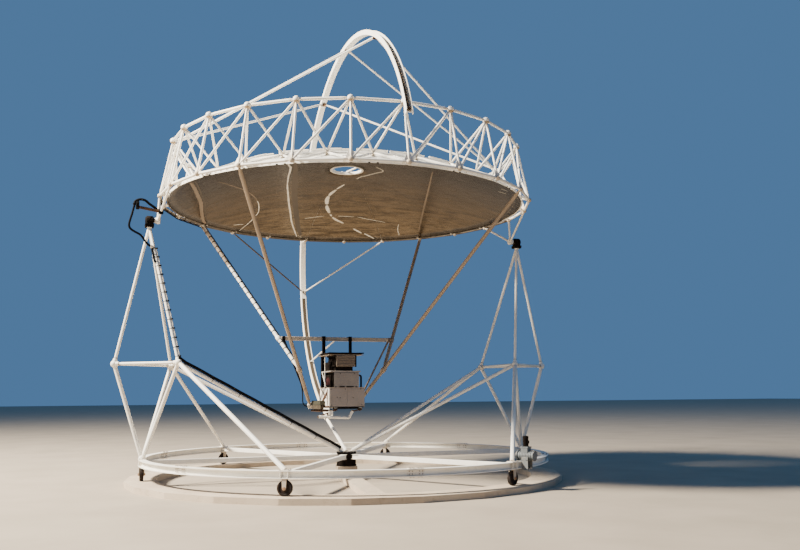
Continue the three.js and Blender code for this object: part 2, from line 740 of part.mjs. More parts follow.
// The cradle's cross bar, made larger by grow where a neighbour clears it
function cradleBar(grow = 0) {
  const half = CRADLE_BAR / 2 + grow;
  return box(-CRADLE_X, CRADLE_X, CRADLE_Y - half, CRADLE_Y + half, CRADLE_Z - half, CRADLE_Z + half);
}

function struts(side, name) {
  const { farNode, nearNode, farTop, nearTop, corner, meet, beamEnd, hangerTop } = strutPoints(side);
  const grown = STRUT + SEAT * 1.3;
  const ballGrown = STRUT_BALL + SEAT * 1.3;
  const nearRoom = [bar(nearTop, corner, grown, 8), ball(meet, ballGrown)];
  const far = joined([bar(farTop, meet, STRUT, 8), ball(beamEnd, STRUT_BALL)]);
  part(`far_strut_${name}`, cut(far, [...nodeRoom(farNode), ...nearRoom, mirrorRoom()]), whitePaint);
  const near = joined([bar(nearTop, corner, STRUT, 8), ball(meet, STRUT_BALL)]);
  const cradleRoom = [ball(corner, ballGrown), cradleBar(SEAT), bar(hangerTop, corner, HANGER + SEAT * 1.3)];
  part(`near_strut_${name}`, cut(near, [...nodeRoom(nearNode), ...cradleRoom, mirrorRoom()]), whitePaint);
}

// Engine frame: beam, hangers, cradle with its rails, arms to the drive arc, and the guard bar
function engineFrame() {
  const beamY = strutPoints(1).beamEnd.y;
  const beamX = strutPoints(1).beamEnd.x;
  const half = BEAM / 2;
  const pieces = [box(-beamX, beamX, beamY - half, beamY + half, BEAM_Z - half, BEAM_Z + half)];
  const room = [arcRoom()];
  [-1, 1].forEach((side) => {
    const { farTop, corner, meet, beamEnd, hangerTop } = strutPoints(side);
    pieces.push(bar(hangerTop, corner, HANGER), ball(corner, STRUT_BALL));
    room.push(ball(beamEnd, STRUT_BALL + SEAT * 1.3), bar(farTop, meet, STRUT + SEAT * 1.3, 8));
  });
  pieces.push(cradleBar(), ...rails(), ...posts(beamY), ...platform());
  pieces.push(bar(vec(0, CRADLE_Y, CRADLE_Z), onArc(ARC_INNER + 20, ARC_ARM_ANGLE), ARC_ARM));
  pieces.push(bar(vec(0, beamY, BEAM_Z), onArc(ARC_INNER + 20, ARC_TIE_ANGLE), ARC_TIE));
  pieces.push(...guardBar());
  part('engine_frame', cut(joined(pieces), room), whitePaint);
}

// The two flat rails under the lower housing
function rails() {
  const top = HOUSING_BASE - SEAT;
  const half = RAIL_WIDTH / 2;
  return [-RAIL_X, RAIL_X].map((x) => (
    box(x - half, x + half, HOUSING_FRONT + 10, CRADLE_Y, top - RAIL_HEIGHT, top)
  ));
}

// Two posts hang from the front of the beam to the roof, and a third goes on from there to the left rail
function posts(beamY) {
  const back = beamY - BEAM / 2 + 5;
  const upright = ({ x, width }, z0, z1) => box(x - width / 2, x + width / 2, POST_FRONT, back, z0, z1);
  return [
    upright(LEFT_POST, PLATE_TOP + SEAT, BEAM_Z + 60),
    upright(RIGHT_POST, PLATE_TOP + SEAT, BEAM_Z + 60),
    upright(LEFT_POST, HOUSING_BASE - 5, UPPER_TOP - SEAT),
  ];
}

// The step left of the engine and the tray under it
function platform() {
  const trayTop = HOUSING_BASE - SEAT - RAIL_HEIGHT + 5;
  return [
    box(DECK_X0, DECK_X1, DECK_FRONT, DECK_BACK, TRAY_BOTTOM, DECK_TOP),
    box(DECK_X0, -RAIL_X, DECK_FRONT, CRADLE_Y, TRAY_BOTTOM, trayTop),
  ];
}

function guardBar() {
  const y = HOUSING_FRONT + GUARD_BAR + 20;
  const railZ = HOUSING_BASE - RAIL_HEIGHT - GUARD_BAR;
  const route = [[-RAIL_X, railZ], [-700, 1455], [40, 1385], [120, 1555], [RAIL_X, railZ]];
  return rope(route.map(([x, z]) => vec(x, y, z)), GUARD_BAR);
}

function housing({ x0, x1, back }, z0, z1) {
  return box(x0, x1, HOUSING_FRONT, back, z0, z1);
}

function enginePackage() {
  part('engine_lower_housing', housing(LOWER_HOUSING, HOUSING_BASE, LOWER_TOP), greyPaint);
  const { x0, x1, back } = MIDDLE_HOUSING;
  const lid = housing({ x0: ROOF.x0 + 40, x1: x1 + 45, back }, MIDDLE_TOP - LID, MIDDLE_TOP);
  const elbow = MIDDLE_TOP - 110;
  const pipe = [vec(PIPE_X, 0, LOWER_TOP + SEAT), vec(PIPE_X, 0, elbow), vec(x1 - 10, 0, elbow + 10)];
  const middle = [housing(MIDDLE_HOUSING, LOWER_TOP + SEAT, MIDDLE_TOP), lid, ...rope(pipe, PIPE)];
  part('engine_middle_housing', cut(joined(middle), [below(LOWER_TOP + SEAT)]), greyPaint);
  const machineryTop = MIDDLE_TOP - LID - SEAT;
  const front = HOUSING_FRONT + 60;
  const machinery = box(ROOF.x0 + 50, x0 - SEAT, front, back - 200, LOWER_TOP + SEAT, machineryTop);
  part('engine_side_machinery', machinery, blackSteel);
  const neck = { x0: UPPER_HOUSING.x0 + 40, x1: UPPER_HOUSING.x1 - 60, back: UPPER_HOUSING.back - 60 };
  const upper = [
    housing(UPPER_HOUSING, UPPER_BASE, UPPER_TOP - SEAT),
    box(neck.x0, neck.x1, front, neck.back, MIDDLE_TOP + SEAT, UPPER_BASE + 5),
  ];
  part('engine_upper_housing', joined(upper), greyPaint);
  const aperture = bar(vec(0, 0, UPPER_TOP - 20), vec(0, 0, PLATE_TOP + 20), APERTURE, 24);
  part('receiver_plate', cut(housing(ROOF, UPPER_TOP, PLATE_TOP), [aperture]), blackSteel);
}

// Yokes that carry the dish on its elevation shafts, and the cable bracket on the left one
function yoke(side, name) {
  const centre = vec(side * YOKE_X, 0, AXIS_Z);
  const nodes = side > 0 ? [-1, 0, 1] : [11, 12, 13];
  const tubes = nodes.map((k) => bar(centre, trussNodes(k).low, YOKE_TUBE));
  const boss = bar(vec(side * (YOKE_X - 55), 0, AXIS_Z), vec(side * (YOKE_X + 55), 0, AXIS_Z), YOKE_BOSS, 12);
  const shaft = bar(centre, vec(side * (BEARING_X + 90), 0, AXIS_Z), SHAFT_RADIUS, 16);
  const pieces = [...tubes, boss, shaft];
  if (side < 0) {
    const { x0, x1, y0, y1, z0, z1 } = BRACKET_BOX;
    const root = centre.clone().lerp(trussNodes(13).low, BRACKET_ROOT);
    const end = vec(x1 - 20, (y0 + y1) / 2, BRACKET_ARM_Z);
    pieces.push(bar(root, end, BRACKET_ARM), box(x0, x1, y0, y1, z0, z1));
  }
  const room = [...nodes.flatMap((k) => nodeRoom(k)), mirrorRoom()];
  part(`yoke_${name}`, cut(joined(pieces), room), blackSteel);
}

function elevationCable() {
  const points = CABLE_ROUTE.map((point) => vec(...point));
  const clipRoom = ball(points.at(-1), CABLE_CLIP + SEAT * 1.3);
  part('elevation_cable', cut(cable(points, CABLE), [clipRoom]), blackSteel);
}

foundation();
turntable();
tower(-1, 'left');
tower(1, 'right');
azimuthDrive();
elevationDrive();
for (let quarter = 0; quarter < 4; quarter += 1) {
  part(`mirror_quarter_${quarter + 1}`, mirrorQuarter(quarter), mirrorSkin);
  part(`truss_quarter_${quarter + 1}`, trussQuarter(quarter), whitePaint);
}
driveArc();
arcBraces(-1, 'left');
arcBraces(1, 'right');
arcStay(-1, 'left');
arcStay(1, 'right');
struts(-1, 'left');
struts(1, 'right');
engineFrame();
enginePackage();
yoke(-1, 'left');
yoke(1, 'right');
elevationCable();

export default group;
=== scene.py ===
# Solar dish concentrator on a wheeled turntable, stowed face down: the looks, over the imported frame.
# Metres, +Z up, in the frame of the CAD model.
import math

import bmesh
import bpy
from mathutils import Matrix, Vector


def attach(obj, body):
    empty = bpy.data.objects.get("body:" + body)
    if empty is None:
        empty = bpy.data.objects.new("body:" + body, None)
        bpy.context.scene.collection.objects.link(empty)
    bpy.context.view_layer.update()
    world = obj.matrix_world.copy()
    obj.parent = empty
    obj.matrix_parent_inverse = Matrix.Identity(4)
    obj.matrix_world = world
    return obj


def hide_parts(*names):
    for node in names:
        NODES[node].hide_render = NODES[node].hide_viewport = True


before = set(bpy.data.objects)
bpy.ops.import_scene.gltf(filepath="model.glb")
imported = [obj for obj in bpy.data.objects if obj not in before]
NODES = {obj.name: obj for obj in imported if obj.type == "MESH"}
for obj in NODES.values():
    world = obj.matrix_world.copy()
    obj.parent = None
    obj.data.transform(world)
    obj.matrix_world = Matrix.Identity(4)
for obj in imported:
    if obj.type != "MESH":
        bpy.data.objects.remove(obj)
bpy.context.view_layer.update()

# Sizes that the CAD source also has
RING_R = 4.6
RING_TOP = 0.58
RING_LOW = 0.438
RING_HALF = 0.075
FLANGE = 0.014
WHEEL_R = 0.145
WHEEL_Z = 0.2653
WHEEL_HALF = 0.04
HUB_TOP = 0.61
HUB_LOW = 0.298
HUB_R = 0.24
SPOKE_Z = 0.509
RING_NAMES = ("right", "back_right", "back_left", "left", "front_left", "front_right")
AXIS_Z = 5.864
BEARING_X = 4.619
BEARING_HALF = 0.1
BEARING_LOW = AXIS_Z - 0.125
MID_Z = 2.639
OUTER_MID_X = 5.252
INNER_MID_X = 3.978
INNER_MID_Y = 0.977
MIRROR_R = 4.25
MIRROR_HOLE = 0.4
FOCAL = 4.5
APEX = 7.425
SHELL = 0.04
RIM_HEIGHT = 0.06
RIM_WIDTH = 0.07
BAYS = 24
TOP_R = 4.156
TOP_Z = 7.762
LOW_R = 4.416
LOW_Z = 6.443
BACK_R = 3.569
BACK_Z = 6.823
ARC_IN = 4.664
ARC_OUT = 4.794
ARC_LIP = 4.775
ARC_HALF = 0.07
ARC_START = -70
ARC_END = 160
DRIVE_ANGLE = 158
DRIVE_UNIT = 0.085
CRADLE = (0.604, 1.158, 1.683)
BEAM_Z = 3.314
HOUSING_BASE = 1.64
LOWER_TOP = 2.11
MIDDLE_TOP = 2.5
LID = 0.036
UPPER_BASE = 2.6
UPPER_TOP = 2.87
PLATE_TOP = 2.93
HOUSING_FRONT = -0.15
CLEAR = 0.0003
PIPE_X = 0.36
RAIL_X = 0.3
POST_X = 0.336
POST_FRONT = 0.8
YOKE_X = 4.44
GEARBOX_ANGLE = -56
GEARBOX_Z = 0.69
CABLE_RADIUS = 0.024
CABLE_ROUTE = [
    (-4.960, -0.300, 6.200), (-4.963, -0.300, 6.155), (-4.972, -0.300, 6.105), (-4.984, -0.300, 6.050),
    (-4.996, -0.300, 5.990), (-5.010, -0.299, 5.925), (-5.028, -0.297, 5.858), (-5.045, -0.294, 5.790),
    (-5.059, -0.290, 5.730), (-5.064, -0.286, 5.672), (-5.048, -0.280, 5.618), (-5.008, -0.272, 5.577),
    (-4.952, -0.262, 5.545), (-4.892, -0.250, 5.517), (-4.832, -0.236, 5.488), (-4.782, -0.222, 5.448),
    (-4.742, -0.208, 5.396), (-4.702, -0.196, 5.340), (-4.658, -0.189, 5.290), (-4.612, -0.187, 5.254),
    (-4.562, -0.190, 5.230),
]
BRACKET_BOX = ((-4.934, -0.345, 6.04), (-4.864, -0.255, 6.207))

# The left, right and back faces of the engine's housings and of the roof over them
LOWER_CASE = (-0.465, 0.405, 0.75)
MIDDLE_CASE = (-0.345, 0.26, 0.65)
UPPER_CASE = (-0.335, 0.2, 0.6)
ROOF = (-0.48, 0.4, 0.9)

# Points and directions
UP = (0, 0, 1)
FORWARD = (0, -1, 0)


def polar(radius, angle, z):
    return Vector((radius * math.cos(math.radians(angle)), radius * math.sin(math.radians(angle)), z))


def on_arc(radius, angle, x=0.0):
    a = math.radians(angle)
    return Vector((x, radius * math.sin(a), AXIS_Z + radius * math.cos(a)))


def mirror_z(r):
    return APEX - r * r / (4 * FOCAL)


def truss_top(k):
    return polar(TOP_R, k * 360 / BAYS, TOP_Z)


def truss_low(k):
    return polar(LOW_R, k * 360 / BAYS, LOW_Z)


def truss_back(k):
    return polar(BACK_R, (k + 0.5) * 360 / BAYS, BACK_Z)


def tower_mids(side):
    return {
        "outer": Vector((side * OUTER_MID_X, 0, MID_Z)),
        "back": Vector((side * INNER_MID_X, INNER_MID_Y, MID_Z)),
        "front": Vector((side * INNER_MID_X, -INNER_MID_Y, MID_Z)),
    }


def basis(axis):
    """Two unit vectors square to axis and to each other."""
    axis = axis.normalized()
    helper = Vector(UP if abs(axis.z) < 0.9 else (1, 0, 0))
    u = axis.cross(helper).normalized()
    return u, axis.cross(u)


def circle(centre, axis, radius, sides):
    u, v = basis(axis)
    turns = [2 * math.pi * i / sides for i in range(sides)]
    return [centre + radius * (math.cos(t) * u + math.sin(t) * v) for t in turns]


def smooth_path(points, steps=4):
    """Points along a Catmull-Rom curve through the given ones."""
    pts = [Vector(p) for p in points]
    pts = [2 * pts[0] - pts[1]] + pts + [2 * pts[-1] - pts[-2]]
    path = []
    for p0, p1, p2, p3 in zip(pts, pts[1:], pts[2:], pts[3:]):
        for i in range(steps):
            t = i / steps
            a = 2 * p1 + (p2 - p0) * t
            b = (2 * p0 - 5 * p1 + 4 * p2 - p3) * t * t
            c = (3 * p1 - p0 - 3 * p2 + p3) * t ** 3
            path.append((a + b + c) / 2)
    path.append(pts[-2])
    return path


def rounded(points, cut=0.09, steps=4):
    """The same path with its corners rounded off."""
    pts = [Vector(p) for p in points]
    path = [pts[0]]
    for before, corner, after in zip(pts, pts[1:], pts[2:]):
        start = corner + (before - corner).normalized() * cut
        stop = corner + (after - corner).normalized() * cut
        for i in range(steps + 1):
            t = i / steps
            path.append((1 - t) ** 2 * start + 2 * t * (1 - t) * corner + t * t * stop)
    return [*path, pts[-1]]


CONE_END = 0.62


class Piece:
    """One mesh of the scene, built up from tubes, balls, blocks and swept profiles."""

    def __init__(self, name, material):
        self.name = name
        self.material = material
        self.bm = bmesh.new()
        self.wear = self.bm.verts.layers.float.new("wear")

    def vertex(self, point, wear=0.0):
        vertex = self.bm.verts.new(point)
        vertex[self.wear] = wear
        return vertex

    def loft(self, rings, wears=None, caps=True, smooth=True):
        """Joins rings of points, one after another, and closes the two ends."""
        wears = wears or [0.0] * len(rings)
        rows = [[self.vertex(p, w) for p in ring] for ring, w in zip(rings, wears)]
        self.skin(rows, smooth)
        if caps:
            self.bm.faces.new([self.vertex(p, wears[0]) for p in reversed(rings[0])])
            self.bm.faces.new([self.vertex(p, wears[-1]) for p in rings[-1]])

    def skin(self, rows, smooth):
        """Faces between rows of vertices that each run round once."""
        for low, high in zip(rows, rows[1:]):
            for i in range(len(low)):
                j = (i + 1) % len(low)
                self.bm.faces.new((low[i], low[j], high[j], high[i])).smooth = smooth

    def tube(self, a, b, radius, sides=14, cone=0.0, wear=0.12):
        """A round tube, with tapered ends where cone is their length, and worn over the last stretch."""
        a, b = Vector(a), Vector(b)
        axis = (b - a).normalized()
        length = (b - a).length
        reach = min(max(wear, cone + 0.01), length * 0.45)
        stops = [(0.0, 1.0, 1.0), (reach, 1.0, 0.0), (length - reach, 1.0, 0.0), (length, 1.0, 1.0)]
        if cone:
            stops[0] = (0.0, CONE_END, 1.0)
            stops[-1] = (length, CONE_END, 1.0)
            stops.insert(1, (cone, 1.0, 0.8))
            stops.insert(-1, (length - cone, 1.0, 0.8))
        rings = [circle(a + axis * at, axis, radius * scale, sides) for at, scale, _ in stops]
        self.loft(rings, [w for _, _, w in stops])

    def strap(self, a, b, width, normal, wear=0.3):
        """A flat bar from a to b that stands out from its plane along normal."""
        a, b, normal = Vector(a), Vector(b), Vector(normal)
        across = (b - a).cross(normal).normalized() * width / 2
        edges = (across, -across, normal - across, normal + across)
        rings = [[end + edge for edge in edges] for end in (a, b)]
        self.loft(rings, [wear, wear], smooth=False)

    def turned(self, centre, axis, stops, sides=24, smooth=True):
        """A turned shape: stops are (distance along the axis, radius)."""
        axis = Vector(axis).normalized()
        centre = Vector(centre)
        self.loft([circle(centre + axis * at, axis, radius, sides) for at, radius in stops], smooth=smooth)

    def hose(self, path, radius, sides=10):
        path = [Vector(p) for p in path]
        rings = []
        for i, point in enumerate(path):
            ahead = path[min(i + 1, len(path) - 1)] - path[max(i - 1, 0)]
            rings.append(circle(point, ahead, radius, sides))
        self.loft(rings)

    def ball(self, centre, radius, wear=0.3, subdivisions=3):
        made = bmesh.ops.create_icosphere(
            self.bm, subdivisions=subdivisions, radius=radius, matrix=Matrix.Translation(centre))
        for vertex in made["verts"]:
            vertex[self.wear] = wear
            for face in vertex.link_faces:
                face.smooth = True

    def block(self, corner, far_corner, matrix=None, chamfer=0.004, wear=0.0):
        """A box between two opposite corners, with its edges cut off by chamfer."""
        low, high = (Vector(map(pick, corner, far_corner)) for pick in (min, max))
        size = high - low
        place = Matrix.Translation((low + high) / 2) @ Matrix.Diagonal((*size, 1.0))
        made = bmesh.ops.create_cube(self.bm, size=1.0, matrix=(matrix or Matrix()) @ place)
        edges = {edge for vertex in made["verts"] for edge in vertex.link_edges}
        for vertex in made["verts"]:
            vertex[self.wear] = wear
        offset = min(chamfer, min(size) * 0.3)
        bmesh.ops.bevel(self.bm, geom=list(edges), offset=offset, segments=1, affect="EDGES")

    def blocks(self, chamfer, wear, *corners):
        for corner, far_corner in corners:
            self.block(corner, far_corner, None, chamfer, wear)

    def bolt(self, centre, axis, radius=0.012, height=0.01):
        axis = Vector(axis).normalized()
        centre = Vector(centre)
        rings = [circle(centre + axis * at, axis, radius * scale, 6) for at, scale in
                 ((0.0, 1.0), (height * 0.8, 1.0), (height, 0.8))]
        self.loft(rings, [1.0, 1.0, 1.0], smooth=False)

    def revolve(self, profile, start, end, steps, matrix=None, smooth=False):
        """A closed profile of (radius, height) swept about Z from one angle to another."""
        matrix = matrix or Matrix()
        angles = [start + (end - start) * i / steps for i in range(steps + 1)]
        rings = [[matrix @ polar(r, angle, z) for r, z in profile] for angle in angles]
        self.loft(rings, smooth=smooth)

    def lathe(self, profile, centre, axis, sides=36, smooth=True):
        """A closed ring: a profile of (radius, distance along the axis) swept once round."""
        axis = Vector(axis).normalized()
        u, v = basis(axis)
        centre = Vector(centre)
        rows = []
        for i in range(sides):
            t = 2 * math.pi * i / sides
            out = math.cos(t) * u + math.sin(t) * v
            rows.append([self.vertex(centre + out * r + axis * at) for r, at in profile])
        self.skin(rows + rows[:1], smooth)

    def finish(self, body, replaces=(), slot="white_steel"):
        bmesh.ops.recalc_face_normals(self.bm, faces=self.bm.faces)
        mesh = bpy.data.meshes.new(self.name)
        self.bm.to_mesh(mesh)
        self.bm.free()
        mesh.materials.append(self.material)
        piece = bpy.data.objects.new(self.name, mesh)
        bpy.context.scene.collection.objects.link(piece)
        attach(piece, body)
        if replaces:
            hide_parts(*replaces)


def finish_all(body, plain=(), dark=()):
    """Finishes pieces that replace no node, the plain ones and then the dark ones."""
    for piece in plain:
        piece.finish(body)
    for piece in dark:
        piece.finish(body, slot="dark_steel")


class Look:
    """A procedural material: a Principled surface and the nodes that feed it."""

    def __init__(self, name, roughness=0.5, metallic=0.0):
        self.material = bpy.data.materials.new(name)
        self.material.use_nodes = True
        self.tree = self.material.node_tree
        self.surface = self.tree.nodes["Principled BSDF"].inputs
        self.roughness(roughness)
        self.link(metallic, self.surface["Metallic"])
        self.place = self.node("TexCoord", {}, "Object")

    def link(self, value, socket):
        """Joins another node's output to a socket, or gives the socket a value."""
        if isinstance(value, bpy.types.NodeSocket):
            self.tree.links.new(value, socket)
        elif socket.type == "RGBA":
            socket.default_value = (*value, 1.0)
        else:
            socket.default_value = value

    def node(self, kind, inputs, output=0, **settings):
        node = self.tree.nodes.new(f"ShaderNode{kind}")
        for key, value in settings.items():
            setattr(node, key, value)
        for key, value in inputs.items():
            self.link(value, node.inputs[key])
        return node.outputs[output]

    def along(self, direction):
        """How far a point lies along a direction."""
        return self.node("VectorMath", {0: self.place, 1: direction}, "Value", operation="DOT_PRODUCT")

    def in_streaks(self, side, bend):
        """A place whose x runs along gently bent lines and whose y steps across them."""
        across = self.along((side[1], -side[0], 0.0))
        spread = self.add(self.times(self.times(across, across), bend), 1.0)
        self.place = self.node("CombineXYZ", {0: across, 1: self.times(self.along(side), spread)})

    def noise(self, scale, detail=4.0, stretch=(1, 1, 1), distortion=0.0, rough=0.55):
        inputs = {"Scale": scale, "Detail": detail, "Roughness": rough, "Distortion": distortion}
        inputs["Vector"] = self.node("Mapping", {"Vector": self.place, "Scale": stretch})
        return self.node("TexNoise", inputs, "Fac")

    def attribute(self, name):
        return self.node("Attribute", {}, "Fac", attribute_name=name)

    def ramp(self, value, low, high, out_low=0.0, out_high=1.0):
        return self.node("MapRange", dict(enumerate((value, low, high, out_low, out_high))))

    def add(self, a, b):
        return self.node("Math", {0: a, 1: b}, operation="ADD")

    def times(self, a, b):
        return self.node("Math", {0: a, 1: b}, operation="MULTIPLY")

    def less(self, a, b):
        return self.node("Math", {0: a, 1: b}, operation="SUBTRACT")

    def mix(self, factor, a, b):
        return self.node("Mix", {0: factor, 6: a, 7: b}, 2, data_type="RGBA")

    def colour(self, value):
        self.link(value, self.surface["Base Color"])

    def roughness(self, value):
        self.link(value, self.surface["Roughness"])

    def bump(self, height, strength=0.3, distance=0.01):
        normal = self.node("Bump", {"Height": height, "Strength": strength, "Distance": distance})
        self.link(normal, self.surface["Normal"])


# Materials
STAIN = (0.46, 0.34, 0.21)
DARK_RUST = (0.2, 0.1, 0.05)
LIGHT_RUST = (0.36, 0.21, 0.11)
# The direction along which the mirror's painted reflection brightens and its painted streaks run.
REFLECTION_SIDE = (0.337, 0.941, 0.0)


def painted(name, paint, shade, dirt, rust=0.3, roughness=0.5, crumple=0.0):
    """Old paint: chalky patches, grime, stains and rust that gather where the wear attribute is high."""
    look = Look(name, roughness)
    patches = look.noise(1.7, 6.0)
    grime = look.ramp(look.noise(9.0, 8.0, distortion=0.6), 0.52, 0.8)
    colour = look.mix(look.ramp(patches, 0.35, 0.7), paint, shade)
    colour = look.mix(look.times(grime, 0.35), colour, dirt)
    speckle = look.noise(34.0, 8.0, rough=0.7)
    worn = look.times(look.attribute("wear"), rust)
    amount = look.add(worn, look.times(speckle, 0.75))
    stained = look.times(look.ramp(amount, 0.5, 0.68), 0.45)
    colour = look.mix(stained, colour, STAIN)
    rusted = look.ramp(amount, 0.72, 0.84)
    look.colour(look.mix(rusted, colour, look.mix(look.noise(60.0), DARK_RUST, LIGHT_RUST)))
    look.roughness(look.ramp(rusted, 0.0, 1.0, roughness, 0.9))
    height = look.less(look.noise(55.0, 6.0), rusted)
    if crumple:
        dents = look.noise(4.5, 3.0, stretch=(1.0, 1.0, 2.0), distortion=1.5)
        height = look.add(height, look.times(dents, crumple))
    look.bump(height, 0.25, 0.003)
    return look.material


def rusty_steel(name, dark, light, roughness=0.7, metallic=0.35, shine=0.2):
    look = Look(name, roughness, metallic)
    look.link(shine, look.surface["Specular IOR Level"])
    blotches = look.ramp(look.noise(14.0, 9.0, rough=0.7), 0.4, 0.62)
    look.colour(look.mix(blotches, dark, light))
    look.roughness(look.ramp(blotches, 0.0, 1.0, roughness - 0.15, roughness + 0.15))
    look.bump(look.noise(70.0, 8.0), 0.35, 0.003)
    return look.material


def concrete_look():
    look = Look("old_concrete", 0.9)
    patches = look.ramp(look.noise(1.1, 8.0, rough=0.6), 0.35, 0.7)
    colour = look.mix(patches, (0.56, 0.46, 0.34), (0.42, 0.33, 0.24))
    grit = look.ramp(look.noise(80.0, 4.0), 0.55, 0.75)
    colour = look.mix(look.times(grit, 0.5), colour, (0.25, 0.2, 0.15))
    stains = look.ramp(look.noise(3.5, 10.0, distortion=1.2), 0.58, 0.75)
    look.colour(look.mix(look.times(stains, 0.6), colour, (0.24, 0.19, 0.14)))
    look.bump(look.add(look.noise(18.0, 10.0), grit), 0.5, 0.01)
    return look.material


def mirror_look():
    """Old mirror glass whose brown is a painted reflection of the ground: a dark painted reflection over one
    half, painted reflection streaks over the other.
    """
    look = Look("mirror_glass", 0.2, 1.0)
    waves = look.noise(1.6, 3.0, stretch=(1.0, 2.4, 1.0))
    # depth grows towards the far side of the glass, where the painted reflection is brighter.
    depth = look.add(look.along(REFLECTION_SIDE), look.noise(1.3, 6.0, distortion=0.5))
    look.in_streaks(REFLECTION_SIDE, 0.022)
    broad = look.noise(1.0, 6.0, stretch=(0.35, 2.2, 1.0), distortion=0.4, rough=0.6)
    reflection_streaks = look.noise(1.1, 10.0, stretch=(0.9, 5.0, 1.0), distortion=1.4, rough=0.72)
    fine = look.noise(7.0, 9.0, stretch=(1.0, 4.5, 1.0), distortion=1.2, rough=0.8)
    reflection_grain = look.noise(16.0, 6.0, stretch=(1.0, 3.5, 1.0), distortion=0.8, rough=0.7)
    colour = look.mix(look.ramp(broad, 0.35, 0.65), (0.082, 0.054, 0.028), (0.122, 0.081, 0.043))
    colour = look.mix(look.ramp(depth, 1.5, 5.0, 0.0, 0.7), colour, (0.33, 0.255, 0.17))
    colour = look.mix(look.times(look.ramp(reflection_streaks, 0.45, 0.6), 0.8), colour, (0.03, 0.019, 0.01))
    colour = look.mix(look.ramp(fine, 0.52, 0.7), colour, (0.29, 0.207, 0.118))
    colour = look.mix(look.ramp(reflection_grain, 0.54, 0.64), colour, (0.028, 0.018, 0.011))
    # smooth is the dark painted reflection over the near half of the glass.
    smooth = look.mix(look.ramp(reflection_streaks, 0.4, 0.65), (0.07, 0.047, 0.024), (0.046, 0.03, 0.015))
    look.colour(look.mix(look.ramp(depth, 0.3, 1.0, 0.85, 0.0), colour, smooth))
    look.roughness(look.ramp(fine, 0.3, 0.7, 0.14, 0.36))
    look.bump(look.add(waves, look.times(fine, 0.25)), 0.4, 0.04)
    return look.material


WHITE = painted("white_paint", (0.9, 0.87, 0.8), (0.83, 0.79, 0.7), (0.56, 0.48, 0.38))
SHELL_PAINT = painted(
    "shell_paint", (0.92, 0.9, 0.85), (0.84, 0.81, 0.74), (0.55, 0.49, 0.4), 0.3, 0.5, 9.0)
NODE_STEEL = painted("node_steel", (0.6, 0.53, 0.43), (0.46, 0.39, 0.3), (0.2, 0.15, 0.11), 0.45, 0.6)
# Dull tan: painted dull reflections on the mirror, and the lining under the roof.
DULL_STRIP = painted("dull_strip", (0.27, 0.2, 0.14), (0.2, 0.15, 0.1), (0.12, 0.085, 0.06), 0.4, 0.5)
SHADE_STRIP = painted(
    "shade_strip", (0.085, 0.062, 0.04), (0.065, 0.047, 0.03), (0.04, 0.03, 0.02), 0.2, 0.5)
# White paint darkened as painted shade, for the wheel forks and the engine beam.
SHADED_WHITE_PAINT = painted("shaded_white_paint", (0.5, 0.43, 0.35), (0.38, 0.32, 0.25), (0.2, 0.15, 0.11), 0.5, 0.6)
CREAM = painted("cream_strip", (0.95, 0.92, 0.84), (0.86, 0.8, 0.68), (0.6, 0.5, 0.36), 0.2, 0.35)
ENGINE_PAINT = painted(
    "engine_paint", (0.305, 0.268, 0.25), (0.25, 0.218, 0.2), (0.14, 0.11, 0.095), 0.3, 0.6)
MIDDLE_PAINT = painted(
    "middle_paint", (0.235, 0.212, 0.2), (0.19, 0.172, 0.16), (0.11, 0.09, 0.075), 0.3, 0.6)
RIBBED_PANEL = painted(
    "ribbed_panel", (0.2, 0.155, 0.115), (0.14, 0.105, 0.078), (0.06, 0.045, 0.035), 0.3, 0.65)
OLIVE = painted(
    "olive_plate", (0.036, 0.032, 0.014), (0.024, 0.021, 0.01), (0.014, 0.011, 0.006), 0.0, 0.7)
PLATFORM_TAN = painted(
    "platform_tan", (0.06, 0.042, 0.021), (0.038, 0.026, 0.013), (0.018, 0.012, 0.007), 0.0, 0.7)
# Tan darkened as painted shade, for struts that lie in the dish's shadow.
SHADED_STRUT_PAINT = painted(
    "shaded_strut_paint", (0.38, 0.29, 0.205), (0.3, 0.225, 0.155), (0.15, 0.11, 0.075), 0.3, 0.6)
# Dark brown as painted shade, on the far half of the low chord and of the rim's edge strip, and on the left
# arc stay.
SHADED_CHORD_PAINT = painted(
    "shaded_chord_paint", (0.11, 0.085, 0.06), (0.08, 0.06, 0.042), (0.04, 0.03, 0.02), 0.15, 0.65)
PALE_PANEL = painted("pale_panel", (0.88, 0.82, 0.7), (0.8, 0.72, 0.58), (0.45, 0.34, 0.22), 0.35, 0.55)
GEARBOX_PAINT = painted(
    "gearbox_paint", (0.15, 0.165, 0.17), (0.11, 0.12, 0.125), (0.05, 0.045, 0.04), 0.25, 0.6)
# Maroon darkened nearly to black as painted shade, for the cylinder heads under the machinery.
SHADED_MAROON = rusty_steel("shaded_maroon_paint", (0.03, 0.005, 0.006), (0.055, 0.012, 0.012), 0.8, 0.0)
TAN = painted("tan_plate", (0.46, 0.33, 0.2), (0.34, 0.24, 0.14), (0.16, 0.1, 0.06), 0.5, 0.7)
BLACK_STEEL = rusty_steel("black_steel", (0.006, 0.0055, 0.005), (0.018, 0.012, 0.009), 0.85, 0.0, 0.04)
RUSTY_STEEL = rusty_steel("rusty_steel", (0.045, 0.026, 0.018), (0.15, 0.08, 0.045), 0.8)
CHAIN_STEEL = rusty_steel("chain_steel", (0.1, 0.065, 0.04), (0.26, 0.18, 0.11), 0.7)
WHEEL_STEEL = rusty_steel("wheel_steel", (0.009, 0.007, 0.006), (0.028, 0.017, 0.013), 0.85, 0.0)
BARE_STEEL = rusty_steel("bare_steel", (0.3, 0.27, 0.24), (0.18, 0.12, 0.08), 0.5)
RUBBER = rusty_steel("black_rubber", (0.005, 0.005, 0.0055), (0.011, 0.01, 0.01), 0.85, 0.0, 0.06)
CONCRETE = concrete_look()
MIRROR = mirror_look()


